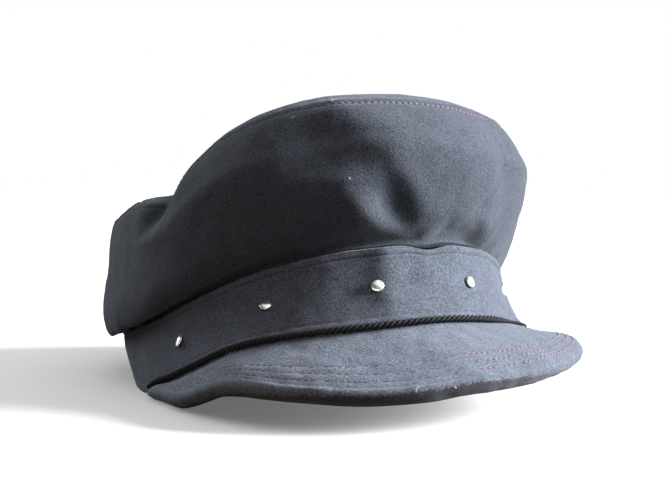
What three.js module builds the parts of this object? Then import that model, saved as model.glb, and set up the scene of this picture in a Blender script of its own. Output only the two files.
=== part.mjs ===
import * as THREE from 'three';

// A soft wool cap with a tall gathered crown, a head band and a drooping padded peak.
// Millimetres, +Z up. The peak points to -Y and the wearer's left is +X.
// Angles are degrees round the head from the front centre, positive to the wearer's left.

// Band
const BAND_WIDTH = 166;
const BAND_LENGTH = 202;
const BAND_WALL = 2.4;
const BAND_HEIGHT = 29.5;
const BAND_LIFT = 37.5;
const BAND_FLARE = 10;
const BAND_SET_BACK = 3;
const DIP_DEPTH = 2.4;
const DIP_ANGLE = 1.5;
const DIP_SPREAD_ANGLE = 5.5;
const DIP_RISE_POWER = 4;
const DIP_FADE_POWER = 12;

// Crown
const CROWN_WALL = 2.2;
const CROWN_RISE = 61;
const CROWN_SPREAD = 17;
const CROWN_TUCK = 6;
const CROWN_SAG = 9;
const RIM_WIDTH = 164;
const RIM_LENGTH = 194;
const RIM_SET_BACK = 10;
const TOP_SHEET = 2;
const TOP_SINK = 16;
const FOLD_DEPTH = 6;

// Visor
const VISOR_REACH = 32;
const VISOR_THICKNESS = 5;
const VISOR_ROLL = 7.5;
const VISOR_EDGE_LIFT = 15;
const VISOR_TWIST = 4;
const VISOR_CROWN = 1.5;
const VISOR_END_ANGLE = 79;

// Trim
const PIPING_DIAMETER = 2;
const PIPING_PEEK = 1.2;
const PIPING_DIP = 0.7;
const CORD_DIAMETER = 2.8;
const STUD_DIAMETER = 5;
const STUD_HEIGHT = 1.8;
const STUD_RIM = 0.5;
const STUD_SPACING = 44;
const STUD_LEVEL = 0.51;

const CLEARANCE = 0.3;
const CORD_CLEARANCE = 0.4;

// Fineness of the solids
const COARSE_STEP = 6;
const FINE_STEP = 2.5;
const FINE_FROM_ANGLE = -30;
const FINE_TO_ANGLE = 15;
const KINK_FROM_ANGLE = -75;
const KINK_TO_ANGLE = -60;
const VISOR_STEPS = 44;
const CORD_STEPS = 60;
const CORD_SIDES = 8;
const PIPING_SIDES = 6;
const STUD_SIDES = 12;

// Round the head: lift of the band's lower edge, band height and flare, as shares of their sizes.
const BAND_ROWS = [
  { at: 0, lift: 1, height: 1, flare: 1 },
  { at: 20, lift: 0.935, height: 1, flare: 1 },
  { at: 40, lift: 0.79, height: 0.945, flare: 0.98 },
  { at: 50, lift: 0.655, height: 0.935, flare: 0.85 },
  { at: 60, lift: 0.45, height: 0.96, flare: 0.68 },
  { at: 70, lift: 0.25, height: 0.98, flare: 0.48 },
  { at: 76, lift: 0.14, height: 0.97, flare: 0.35 },
  { at: 80, lift: 0.06, height: 1, flare: 0.25 },
  { at: 86, lift: 0, height: 0.98, flare: 0.12 },
  { at: 94, lift: 0, height: 0.87, flare: -0.1 },
  { at: 108, lift: 0, height: 0.76, flare: -0.45 },
  { at: 125, lift: 0, height: 0.75, flare: -0.55 },
  { at: 180, lift: 0, height: 0.75, flare: -0.5 },
];

// Round the head: crown rise above the band, and how far its fullness has sunk (0 front, 1 rear).
const CROWN_ROWS = [
  { at: -180, rise: 0.74, sunk: 1 },
  { at: -135, rise: 0.8, sunk: 1 },
  { at: -111, rise: 0.87, sunk: 1 },
  { at: -90, rise: 0.885, sunk: 0.9 },
  { at: -78, rise: 0.84, sunk: 0.7 },
  { at: -69, rise: 0.755, sunk: 0.55 },
  { at: -60, rise: 0.91, sunk: 0.4 },
  { at: -50, rise: 0.985, sunk: 0.2 },
  { at: -35, rise: 1.02, sunk: 0 },
  { at: -15, rise: 1, sunk: 0 },
  { at: 5, rise: 0.975, sunk: 0 },
  { at: 20, rise: 0.975, sunk: 0 },
  { at: 35, rise: 1.01, sunk: 0 },
  { at: 52, rise: 1.06, sunk: 0 },
  { at: 70, rise: 1.02, sunk: 0.2 },
  { at: 90, rise: 0.93, sunk: 0.7 },
  { at: 111, rise: 0.87, sunk: 1 },
  { at: 135, rise: 0.8, sunk: 1 },
  { at: 180, rise: 0.74, sunk: 1 },
];

// Up the crown: fullness as a share of the spread, where it stands full and where it has sunk,
// and the share of the sag where it has sunk.
const CROWN_PROFILE = [
  { at: 0, full: 0, low: 0, sag: 0 },
  { at: 0.04, full: 0.14, low: 0.37, sag: 0.1 },
  { at: 0.07, full: 0.27, low: 0.5, sag: 0.75 },
  { at: 0.1, full: 0.39, low: 0.62, sag: 1 },
  { at: 0.14, full: 0.5, low: 0.72, sag: 0.9 },
  { at: 0.2, full: 0.62, low: 0.77, sag: 0.6 },
  { at: 0.35, full: 0.81, low: 0.65, sag: 0.15 },
  { at: 0.5, full: 0.95, low: 0.52, sag: 0 },
  { at: 0.62, full: 1, low: 0.45, sag: 0 },
  { at: 0.74, full: 0.84, low: 0.38, sag: 0 },
  { at: 0.85, full: 0.62, low: 0.3, sag: 0 },
  { at: 0.94, full: 0.36, low: 0.18, sag: 0 },
  { at: 1, full: 0, low: 0, sag: 0 },
];

// Folds in the crown. Each runs from a low to a high end, as an angle and a share of the rise.
// Depth is a share of the fold depth (negative stands out). Left and right are the widths in
// degrees towards the wearer's left and right. A bend above 1 keeps the fold upright low down.
const CROWN_FOLDS = [
  { lowAt: -5.5, lowUp: 0, highAt: -27, highUp: 0.95, bend: 2, depth: 0.55, left: 3, right: 8 },
  { lowAt: -7, lowUp: 0, highAt: -27, highUp: 0.5, bend: 0.8, depth: -0.5, left: 5, right: 5 },
  { lowAt: 2, lowUp: 0.1, highAt: -10, highUp: 0.75, bend: 1.3, depth: -0.25, left: 7, right: 4 },
  { lowAt: 14, lowUp: 0, highAt: 10, highUp: 0.3, bend: 1, depth: 0.3, left: 3, right: 5 },
  { lowAt: -76, lowUp: 0.6, highAt: -68, highUp: 1.1, bend: 1, depth: 0.7, left: 4, right: 4 },
];

// Round the visor: reach and height of its lower edge above the floor as shares of their sizes,
// and the share of the twist, which lifts the wearer's left side and lowers the right.
const VISOR_ROWS = [
  { at: 0, reach: 1, lift: 0.93, twist: 0 },
  { at: 10, reach: 0.99, lift: 0.88, twist: 0.41 },
  { at: 20, reach: 0.95, lift: 0.89, twist: 0.74 },
  { at: 30, reach: 0.88, lift: 0.965, twist: 0.9 },
  { at: 41, reach: 0.71, lift: 1, twist: 1 },
  { at: 46, reach: 0.62, lift: 0.93, twist: 0.97 },
  { at: 52, reach: 0.5, lift: 0.63, twist: 0.87 },
  { at: 57, reach: 0.4, lift: 0.33, twist: 0.57 },
  { at: 62, reach: 0.31, lift: 0.1, twist: 0.25 },
  { at: 68, reach: 0.22, lift: 0, twist: 0 },
  { at: 75, reach: 0.16, lift: 0, twist: 0 },
  { at: 79, reach: 0.08, lift: 0, twist: 0 },
];

// Studs along the band, as distances from the centre front in shares of their spacing.
const STUD_PLACES = [-2.5, -1.5, -0.5, 0.5, 1.3, 2.3];

const WOOL = { color: 0x3c434f, roughness: 0.95, metalness: 0 };
const VISOR_WOOL = { color: 0x444b58, roughness: 0.95, metalness: 0 };
const BLACK_CORD = { color: 0x0c0c0e, roughness: 0.6, metalness: 0 };
const SILVER = { color: 0xcfd0cb, roughness: 0.25, metalness: 1 };

const radians = (degrees) => (degrees * Math.PI) / 180;

// Smooth reading of one column of a table between its rows, with no overshoot.
function along(rows, column, at) {
  const last = rows.length - 1;
  if (at <= rows[0].at) return rows[0][column];
  if (at >= rows[last].at) return rows[last][column];
  let i = 0;
  while (rows[i + 1].at < at) i += 1;
  const run = (k) => rows[k + 1].at - rows[k].at;
  const climb = (k) => (rows[k + 1][column] - rows[k][column]) / run(k);
  const slope = (k) => {
    if (k === 0 || k === last) return 0;
    const before = climb(k - 1);
    const after = climb(k);
    return before * after <= 0 ? 0 : (2 * before * after) / (before + after);
  };
  const t = (at - rows[i].at) / run(i);
  const rise = rows[i + 1][column] - rows[i][column];
  const bow = (1 - t) * (slope(i) * run(i) - rise) - t * (slope(i + 1) * run(i) - rise);
  return rows[i][column] + t * rise + t * (1 - t) * bow;
}

// A point on an oval round the head, moved outwards by an offset.
function onOval(width, length, setBack, at, offset) {
  const angle = radians(at);
  const a = width / 2;
  const b = length / 2;
  const out = new THREE.Vector2(Math.sin(angle) / a, -Math.cos(angle) / b).normalize();
  const x = a * Math.sin(angle) + offset * out.x;
  const y = setBack - b * Math.cos(angle) + offset * out.y;
  return new THREE.Vector2(x, y);
}

const bandColumn = (column, at) => along(BAND_ROWS, column, Math.abs(at));
const bandLow = (at) => BAND_LIFT * bandColumn('lift', at);
const bandHigh = (at) => bandLow(at) + BAND_HEIGHT * bandColumn('height', at);
const bandFlare = (at, up) => BAND_FLARE * bandColumn('flare', at) * (1 - up) ** 2;

// How far the band's top edge dips at the centre front, and how far the piping and crown follow.
const edgeDip = (at) => DIP_DEPTH * Math.exp(-(((at - DIP_ANGLE) / DIP_SPREAD_ANGLE) ** 2));
const seamDip = (at) => PIPING_DIP * edgeDip(at);

// A point on the band, up from its lower (0) to its top edge (1), inset from its outer face.
function onBand(at, up, inset) {
  const offset = bandFlare(at, up) - inset;
  const place = onOval(BAND_WIDTH, BAND_LENGTH, BAND_SET_BACK * up, at, offset);
  const z = bandLow(at) + (bandHigh(at) - bandLow(at)) * up - edgeDip(at) * up ** DIP_RISE_POWER;
  return new THREE.Vector3(place.x, place.y, z);
}

// The crown starts behind the piping, which lies behind the band.
const CROWN_SEAT = BAND_WALL + PIPING_DIAMETER + 2 * CLEARANCE;
const crownRise = (at) => CROWN_RISE * along(CROWN_ROWS, 'rise', at);
const crownSunk = (at) => along(CROWN_ROWS, 'sunk', at);
const rimHeight = (at) => bandHigh(at) + crownRise(at);

// How far the folds push the crown inwards at one place.
function foldDepth(at, up) {
  let depth = 0;
  for (const fold of CROWN_FOLDS) {
    const share = (up - fold.lowUp) / (fold.highUp - fold.lowUp);
    if (share <= 0 || share >= 1) continue;
    const centre = fold.lowAt + (fold.highAt - fold.lowAt) * share ** fold.bend;
    const across = (at - centre) / (at > centre ? fold.left : fold.right);
    const fade = Math.sin(Math.PI * share) ** 0.7;
    depth += FOLD_DEPTH * fold.depth * fade * Math.exp(-across * across);
  }
  return depth;
}

// A point on the outside of the crown's side, up from the band's top edge (0) to the rim (1).
function onCrown(at, up) {
  const sunk = crownSunk(at);
  const full = along(CROWN_PROFILE, 'full', up) * (1 - sunk);
  const low = along(CROWN_PROFILE, 'low', up) * sunk;
  const sag = along(CROWN_PROFILE, 'sag', up) * sunk * CROWN_SAG;
  const offset = CROWN_SPREAD * (full + low) - foldDepth(at, up);
  const foot = onOval(BAND_WIDTH, BAND_LENGTH, BAND_SET_BACK, at, offset - CROWN_SEAT);
  const rim = onOval(RIM_WIDTH, RIM_LENGTH, RIM_SET_BACK, at, offset);
  const place = foot.lerp(rim, Math.max(up, 0));
  const start = PIPING_PEEK + CLEARANCE;
  const dip = seamDip(at) * (1 - up) ** DIP_FADE_POWER;
  const z = bandHigh(at) + start + (crownRise(at) - start) * up - sag - dip;
  return new THREE.Vector3(place.x, place.y, z);
}

// The matching point on the inside, one wall thickness in along the surface's own normal.
function insideCrown(at, up) {
  const step = 0.004;
  const round = onCrown(at + 1, up).sub(onCrown(at - 1, up));
  const climb = onCrown(at, Math.min(up + step, 1)).sub(onCrown(at, Math.max(up - step, 0)));
  const out = round.cross(climb).normalize();
  return onCrown(at, up).addScaledVector(out, -CROWN_WALL);
}

// Angles of the sections round the head, closer together at the folds.
function stations() {
  const list = [];
  let at = -180;
  while (at < 180 - COARSE_STEP / 2) {
    list.push(at);
    const folded = at >= FINE_FROM_ANGLE && at < FINE_TO_ANGLE;
    const kinked = at >= KINK_FROM_ANGLE && at < KINK_TO_ANGLE;
    at += folded || kinked ? FINE_STEP : COARSE_STEP;
  }
  return list;
}

// A closed solid from closed sections, each listed counterclockwise with outwards to the right.
// A looped row of sections joins its last to its first, an open one gets two end faces.
function skin(sections, looped) {
  const size = sections[0].length;
  const points = sections.flat();
  const faces = [];
  const spans = looped ? sections.length : sections.length - 1;
  for (let i = 0; i < spans; i += 1) {
    const here = i * size;
    const next = ((i + 1) % sections.length) * size;
    for (let j = 0; j < size; j += 1) {
      const k = (j + 1) % size;
      faces.push(here + j, next + j, here + k);
      faces.push(next + j, next + k, here + k);
    }
  }
  if (!looped) {
    for (const [start, first] of [[true, 0], [false, (sections.length - 1) * size]]) {
      const middle = new THREE.Vector3();
      for (let j = 0; j < size; j += 1) middle.addScaledVector(points[first + j], 1 / size);
      const centre = points.push(middle) - 1;
      for (let j = 0; j < size; j += 1) {
        const a = first + j;
        const b = first + ((j + 1) % size);
        faces.push(centre, start ? a : b, start ? b : a);
      }
    }
  }
  const geometry = new THREE.BufferGeometry().setFromPoints(points);
  geometry.setIndex(faces);
  geometry.computeVertexNormals();
  return geometry;
}

function piece(name, geometry, finish) {
  const mesh = new THREE.Mesh(geometry, new THREE.MeshStandardMaterial(finish));
  mesh.name = name;
  return mesh;
}

function band() {
  const outside = [0, 0.12, 0.27, 0.45, 0.65, 0.85, 1];
  const inside = [1, 0.6, 0.27, 0];
  const section = (at) => [
    ...outside.map((up) => onBand(at, up, 0)),
    ...inside.map((up) => onBand(at, up, BAND_WALL)),
  ];
  return piece('band', skin(stations().map(section), true), WOOL);
}

function crownSide() {
  const outside = [0, 0.04, 0.1, 0.17, 0.27, 0.38, 0.5, 0.62, 0.74, 0.84, 0.92, 1];
  const inside = [1, 0.88, 0.72, 0.56, 0.4, 0.27, 0.18, 0.1, 0.04];
  const section = (at) => {
    const foot = onCrown(at, 0);
    const hem = foot.clone().setZ(foot.z - CROWN_TUCK);
    const inner = inside.map((up) => insideCrown(at, up));
    const innerPlace = onOval(BAND_WIDTH, BAND_LENGTH, BAND_SET_BACK, at, -CROWN_SEAT - CROWN_WALL);
    const innerFoot = new THREE.Vector3(innerPlace.x, innerPlace.y, foot.z);
    const innerHem = innerFoot.clone().setZ(hem.z);
    return [hem, ...outside.map((up) => onCrown(at, up)), ...inner, innerFoot, innerHem];
  };
  return piece('crown_side', skin(stations().map(section), true), WOOL);
}

// The top sheet lies inside the rim. Its middle follows the plane through the rim's front and rear.
function crownTop() {
  const shares = [0, 0.12, 0.3, 0.55, 0.8];
  const frontZ = rimHeight(0);
  const rearZ = rimHeight(180);
  const middleZ = (frontZ + rearZ) / 2;
  const tilt = (rearZ - frontZ) / RIM_LENGTH;
  const centre = new THREE.Vector3(0, RIM_SET_BACK, middleZ - TOP_SINK);
  const place = (at, share, drop) => {
    const rim = insideCrown(at, 1);
    const reach = Math.hypot(rim.x, rim.y - RIM_SET_BACK);
    const edge = (reach - CLEARANCE) / reach;
    const x = rim.x * edge * (1 - share);
    const y = RIM_SET_BACK + (rim.y - RIM_SET_BACK) * edge * (1 - share);
    const plane = middleZ + tilt * (y - RIM_SET_BACK);
    const rimPlane = middleZ + tilt * (rim.y - RIM_SET_BACK);
    const lean = (rimHeight(at) - rimPlane) * (1 - share) ** 3;
    const sink = TOP_SINK * (1 - (1 - share) ** 2);
    return new THREE.Vector3(x, y, plane + lean - sink - drop);
  };
  const rings = stations();
  const points = [];
  const faces = [];
  for (const at of rings) {
    for (const share of shares) points.push(place(at, share, 0));
    for (const share of shares) points.push(place(at, share, TOP_SHEET));
  }
  const upper = points.push(centre) - 1;
  const lower = points.push(centre.clone().setZ(centre.z - TOP_SHEET)) - 1;
  const row = shares.length;
  const quad = (a, b, c, d) => faces.push(a, b, c, a, c, d);
  rings.forEach((_, i) => {
    const here = i * row * 2;
    const next = ((i + 1) % rings.length) * row * 2;
    for (let j = 0; j < row - 1; j += 1) {
      quad(here + j, next + j, next + j + 1, here + j + 1);
      quad(here + row + j, here + row + j + 1, next + row + j + 1, next + row + j);
    }
    quad(here, here + row, next + row, next);
    faces.push(here + row - 1, next + row - 1, upper);
    faces.push(next + 2 * row - 1, here + 2 * row - 1, lower);
  });
  const geometry = new THREE.BufferGeometry().setFromPoints(points);
  geometry.setIndex(faces);
  geometry.computeVertexNormals();
  return piece('crown_top', geometry, WOOL);
}

function bandPiping() {
  const radius = PIPING_DIAMETER / 2;
  const section = (at) => {
    const list = [];
    const middleZ = bandHigh(at) + PIPING_PEEK - radius - seamDip(at);
    for (let side = 0; side < PIPING_SIDES; side += 1) {
      const turn = (2 * Math.PI * (side + 0.5)) / PIPING_SIDES;
      const inset = BAND_WALL + CLEARANCE + radius - radius * Math.cos(turn);
      const place = onOval(BAND_WIDTH, BAND_LENGTH, BAND_SET_BACK, at, -inset);
      list.push(new THREE.Vector3(place.x, place.y, middleZ + radius * Math.sin(turn)));
    }
    return list;
  };
  return piece('band_piping', skin(stations().map(section), true), BLACK_CORD);
}

// Where the visor's rolled edge ends and its top begins, in degrees up from straight out.
const ROLL_LIP_ANGLE = 60;

// The visor's section at one angle, in the plane that points straight out from the band's foot.
function visorFrame(at) {
  const side = Math.sign(at);
  const row = (column) => along(VISOR_ROWS, column, Math.abs(at));
  const top = bandLow(at) - CLEARANCE;
  const low = VISOR_EDGE_LIFT * row('lift') + side * VISOR_TWIST * row('twist');
  const edge = Math.max(low, 0);
  const roll = Math.min(VISOR_ROLL, top - edge) / 2;
  const reach = VISOR_REACH * row('reach');
  const onRoll = (turn) => ({
    out: reach - roll + roll * Math.cos(radians(turn)),
    z: edge + roll + roll * Math.sin(radians(turn)),
  });
  return { top, edge, onRoll, lip: onRoll(ROLL_LIP_ANGLE), crown: VISOR_CROWN * row('reach') };
}

function onVisor(at, out, z) {
  const place = onOval(BAND_WIDTH, BAND_LENGTH, 0, at, bandFlare(at, 0) + out);
  return new THREE.Vector3(place.x, place.y, z);
}

function visor() {
  const topShares = [0.8, 0.6, 0.4, 0.2];
  const rollTurns = [-90, -60, -30, 0, 30, ROLL_LIP_ANGLE];
  const sections = [];
  for (let i = 0; i <= VISOR_STEPS; i += 1) {
    const at = -VISOR_END_ANGLE + (2 * VISOR_END_ANGLE * i) / VISOR_STEPS;
    const { top, edge, onRoll, lip, crown } = visorFrame(at);
    const under = Math.max(top - VISOR_THICKNESS, edge);
    const list = [onVisor(at, -BAND_WALL, under)];
    for (const turn of rollTurns) list.push(onVisor(at, onRoll(turn).out, onRoll(turn).z));
    for (const share of topShares) {
      const swell = crown * 4 * share * share * (1 - share);
      list.push(onVisor(at, lip.out * share, top + (lip.z - top) * share + swell));
    }
    list.push(onVisor(at, 0, top));
    list.push(onVisor(at, -BAND_WALL, top));
    sections.push(list);
  }
  return piece('visor', skin(sections, false), VISOR_WOOL);
}

// The cord lies in the corner between the band's foot and the visor, clear of both.
function visorCord() {
  const radius = CORD_DIAMETER / 2;
  const path = [];
  for (let i = 0; i <= CORD_STEPS; i += 1) {
    const at = -VISOR_END_ANGLE + (2 * VISOR_END_ANGLE * i) / CORD_STEPS;
    const { top, lip } = visorFrame(at);
    const fall = Math.atan2(top - lip.z, lip.out);
    const height = bandHigh(at) - bandLow(at);
    const bandOut = new THREE.Vector2(height, 2 * bandFlare(at, 0)).normalize();
    const visorOut = new THREE.Vector2(Math.sin(fall), Math.cos(fall));
    const distance = (radius + CORD_CLEARANCE) / (1 + bandOut.dot(visorOut));
    const shift = bandOut.add(visorOut).multiplyScalar(distance);
    path.push(onVisor(at, shift.x, top + shift.y));
  }
  const outline = [];
  for (let side = 0; side < CORD_SIDES; side += 1) {
    const turn = (2 * Math.PI * side) / CORD_SIDES;
    outline.push(new THREE.Vector2(radius * Math.cos(turn), radius * Math.sin(turn)));
  }
  const route = new THREE.CatmullRomCurve3(path);
  const settings = { steps: CORD_STEPS, bevelEnabled: false, extrudePath: route };
  return piece('visor_cord', new THREE.ExtrudeGeometry(new THREE.Shape(outline), settings), BLACK_CORD);
}

// The angle at a distance along the band's outside from the front centre.
function angleAtArc(distance) {
  const step = 0.25;
  let at = 0;
  let run = 0;
  while (run < Math.abs(distance)) {
    run += onBand(at + step, STUD_LEVEL, 0).setZ(0).distanceTo(onBand(at, STUD_LEVEL, 0).setZ(0));
    at += step;
  }
  return Math.sign(distance) * at;
}

function stud(number, place) {
  const radius = STUD_DIAMETER / 2;
  const profile = [new THREE.Vector2(0, 0), new THREE.Vector2(radius, 0)];
  for (const turn of [0, 25, 50, 72]) {
    const angle = radians(turn);
    const y = STUD_RIM + (STUD_HEIGHT - STUD_RIM) * Math.sin(angle);
    profile.push(new THREE.Vector2(radius * Math.cos(angle), y));
  }
  profile.push(new THREE.Vector2(0, STUD_HEIGHT));
  const mesh = piece(`stud_${number}`, new THREE.LatheGeometry(profile, STUD_SIDES), SILVER);
  const at = angleAtArc(place * STUD_SPACING);
  const round = onBand(at + 1, STUD_LEVEL, 0).sub(onBand(at - 1, STUD_LEVEL, 0));
  const climb = onBand(at, STUD_LEVEL + 0.05, 0).sub(onBand(at, STUD_LEVEL - 0.05, 0));
  const out = round.cross(climb).normalize();
  mesh.position.copy(onBand(at, STUD_LEVEL, 0).addScaledVector(out, CLEARANCE));
  mesh.quaternion.setFromUnitVectors(new THREE.Vector3(0, 1, 0), out);
  return mesh;
}

const cap = new THREE.Group();
cap.add(band(), bandPiping(), crownSide(), crownTop(), visor(), visorCord());
STUD_PLACES.forEach((place, i) => cap.add(stud(i + 1, place)));

// The origin is the middle of the cap's box, on the floor.
const box = new THREE.Box3().setFromObject(cap);
cap.position.set(-(box.min.x + box.max.x) / 2, -(box.min.y + box.max.y) / 2, -box.min.z);

export default cap;
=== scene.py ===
# %% [markdown]
# # A soft wool cap with a full crown
# The cap has a tall crown gathered onto a head band, a padded peak that droops over the brow, a
# twisted cord where the two meet, and a row of small silver studs round the band.
#
# The cap's construction comes first, as a fixed frame of plain solids. This lesson dresses it: each
# soft solid is made again as a fine mesh from the same sizes and tables, and then it gets its
# stitches, folds, edges and finish. Everything is in metres, with +Z up and the peak towards -Y.

# %% Load the frame
import math

import bpy
import numpy as np
from mathutils import Matrix, Vector, noise


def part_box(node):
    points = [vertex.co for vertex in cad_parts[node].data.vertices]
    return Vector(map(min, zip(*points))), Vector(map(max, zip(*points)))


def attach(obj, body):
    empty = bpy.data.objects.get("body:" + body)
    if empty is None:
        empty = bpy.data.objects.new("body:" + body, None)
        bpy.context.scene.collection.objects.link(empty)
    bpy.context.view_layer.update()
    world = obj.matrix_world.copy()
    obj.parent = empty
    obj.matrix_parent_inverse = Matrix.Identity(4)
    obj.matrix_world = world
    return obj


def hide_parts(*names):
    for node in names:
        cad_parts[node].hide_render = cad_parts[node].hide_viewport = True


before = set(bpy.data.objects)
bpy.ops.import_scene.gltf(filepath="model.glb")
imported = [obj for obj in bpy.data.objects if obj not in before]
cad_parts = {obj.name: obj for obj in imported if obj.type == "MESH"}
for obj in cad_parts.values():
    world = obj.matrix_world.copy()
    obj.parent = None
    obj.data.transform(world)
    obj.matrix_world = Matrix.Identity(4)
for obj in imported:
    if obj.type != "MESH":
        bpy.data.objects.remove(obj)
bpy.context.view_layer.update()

# %% [markdown]
# ## The head's own axis
# The band and the crown are drawn round the middle of the head, but the frame's origin is the
# middle of the whole cap, peak included. The rear of the band tells how far apart the two are, so
# the shift is read from the frame and isn't typed.

# %% Find the middle of the head
BAND_WIDTH = 0.166
BAND_LENGTH = 0.202
BAND_SET_BACK = 0.003
band_low, band_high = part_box("band")
head_centre = Vector(
    (
        (band_low.x + band_high.x) / 2,
        band_high.y - BAND_SET_BACK - BAND_LENGTH / 2,
        0,
    )
)
print("middle of the head at", tuple(head_centre))

# %% [markdown]
# ## Camera
# The photograph was taken from a little above the brow, from the wearer's right, at about half a
# metre. A camera that is built from three directions (right, up and back) can take the small roll
# of a hand-held picture without Euler angles.

# %% Set up the camera
CAMERA_FROM = Vector((-0.2518, -0.4883, 0.0884))
CAMERA_TOWARDS = Vector((0.0103, -0.0056, 0.0596))
CAMERA_ROLL = math.radians(0.5)
CAMERA_LENS_MM = 63.19


def look(start, towards, roll):
    """The matrix of a camera at one point that looks at another."""
    ahead = (towards - start).normalized()
    level = ahead.cross(Vector((0, 0, 1))).normalized()
    upright = level.cross(ahead)
    right = level * math.cos(roll) + upright * math.sin(roll)
    top = upright * math.cos(roll) - level * math.sin(roll)
    turn = Matrix((right, top, -ahead)).transposed()
    return Matrix.Translation(start) @ turn.to_4x4()


def in_scene(name, data):
    """A new object, linked to the scene."""
    made = bpy.data.objects.new(name, data)
    bpy.context.scene.collection.objects.link(made)
    return made


camera = in_scene("camera", bpy.data.cameras.new("camera"))
camera.data.lens = CAMERA_LENS_MM
camera.matrix_world = look(
    CAMERA_FROM + head_centre, CAMERA_TOWARDS + head_centre, CAMERA_ROLL
)
bpy.context.scene.camera = camera
print("camera at", tuple(camera.matrix_world.translation))

# %% [markdown]
# ## Node trees in a few lines
# Materials, shader groups and geometry trees are all the same thing to Blender: nodes with sockets.
# One helper makes a node, fills its sockets with plain values or joins them to other sockets, and
# keeps every tree below short enough to read. The others give what comes back again and again: a
# sum, a mix of two colours, a step between two values, soft noise and an empty material.


# %% A helper for nodes
def node(tree, kind, sockets=None, **settings):
    """A new node with its settings made and its inputs filled or joined."""
    made = tree.nodes.new(kind)
    for name, value in settings.items():
        setattr(made, name, value)
    for name, value in (sockets or {}).items():
        if isinstance(value, bpy.types.NodeSocket):
            tree.links.new(value, made.inputs[name])
        else:
            made.inputs[name].default_value = value
    return made


def maths(tree, operation, first, second=0.0, third=0.0):
    """The result of a sum on numbers or sockets."""
    made = node(tree, "ShaderNodeMath", {0: first, 1: second, 2: third}, operation=operation)
    return made.outputs[0]


def blend_colours(tree, share, first, second):
    """A mix of two colours."""
    sockets = {0: share, 6: first, 7: second}
    return node(tree, "ShaderNodeMix", sockets, data_type="RGBA").outputs[2]


def between(tree, value, low, high, start=0.0, end=1.0, kind="SMOOTHSTEP"):
    """How far a value has come from low to high, told as a value from start to end."""
    sockets = {"Value": value, "From Min": low, "From Max": high, "To Min": start, "To Max": end}
    return node(tree, "ShaderNodeMapRange", sockets, interpolation_type=kind).outputs[0]


def cloud(tree, place, scale, detail, roughness):
    """Soft noise over a place."""
    sockets = {"Vector": place, "Scale": scale, "Detail": detail, "Roughness": roughness}
    return node(tree, "ShaderNodeTexNoise", sockets).outputs["Fac"]


def new_finish(name):
    """An empty material, and the tree of nodes in it."""
    finish = bpy.data.materials.new(name)
    finish.use_nodes = True
    finish.node_tree.nodes.clear()
    return finish, finish.node_tree


# %% [markdown]
# ## Light
# Soft daylight falls from the wearer's left, as from a window, on the right side of the picture. The
# left side falls into shade with a faint cool edge. A lamp near the cap would light the floor
# unevenly, so suns do it: a broad one for the window, a weak one for the ceiling and another behind
# the cap for the edge.
#
# The world answers each kind of ray in its own way. It is white to the camera and dim to the cloth.
# To anything shiny it is bright only on the window's side, so that each stud shows a bright and a
# dark side and not one flat grey.

# %% Suns and world
# Each sun: azimuth, elevation, strength, spread in degrees and tint.
SUNS = {
    "window_light": (62, 19, 12.4, 24, (0.98, 1.0, 1.0)),
    "ceiling_light": (50, 70, 1.3, 110, (0.94, 0.98, 1.0)),
    "edge_light": (-150, 20, 1.2, 30, (0.85, 0.95, 1.0)),
}
WORLD_FILL = (0.215, 0.172, 0.142, 1.0)
WORLD_SEEN = (1.0, 1.0, 1.0, 1.0)
SHINE_FROM = (50, 35)
SHINE_EDGES = (0.1, 0.9)
SHINE_DIM = (0.2, 0.2, 0.2, 1.0)
SHINE_BRIGHT = (1.0, 1.0, 1.0, 1.0)


def towards(azimuth, elevation):
    """A direction round the head, 0 in front and positive to +X, and up from the floor."""
    turn = math.radians(azimuth)
    rise = math.radians(elevation)
    level = math.cos(rise)
    return Vector((math.sin(turn) * level, -math.cos(turn) * level, math.sin(rise)))


for name, (azimuth, elevation, strength, spread, tint) in SUNS.items():
    sun = in_scene(name, bpy.data.lights.new(name, "SUN"))
    sun.data.energy = strength
    sun.data.angle = math.radians(spread)
    sun.data.color = tint
    sun.rotation_euler = towards(azimuth, elevation).to_track_quat("Z", "Y").to_euler()
    print(name, "from", azimuth, "degrees round and", elevation, "up")

world = bpy.data.worlds.new("studio")
bpy.context.scene.world = world
world.use_nodes = True
tree = world.node_tree
tree.nodes.clear()
ray = node(tree, "ShaderNodeLightPath").outputs
aim = node(tree, "ShaderNodeNewGeometry").outputs["Incoming"]
window = {0: aim, 1: tuple(-towards(*SHINE_FROM))}
nearness = node(tree, "ShaderNodeVectorMath", window, operation="DOT_PRODUCT").outputs["Value"]
shine = blend_colours(tree, between(tree, nearness, *SHINE_EDGES), SHINE_DIM, SHINE_BRIGHT)
dull = blend_colours(tree, ray["Is Glossy Ray"], WORLD_FILL, shine)
sky = blend_colours(tree, ray["Is Camera Ray"], dull, WORLD_SEEN)
back = node(tree, "ShaderNodeBackground", {"Color": sky, "Strength": 1.0})
node(tree, "ShaderNodeOutputWorld", {"Surface": back.outputs[0]})
bpy.context.scene.view_settings.view_transform = "Standard"

# %% [markdown]
# ## Floor
# The cap rests on a plain, pale surface. A white floor would throw so much light back that the dark
# cloth lost its shade, so this one looks pale to the camera, with a slight glow that only the
# camera sees, and is a dark, warm colour to the light that bounces off it.

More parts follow.
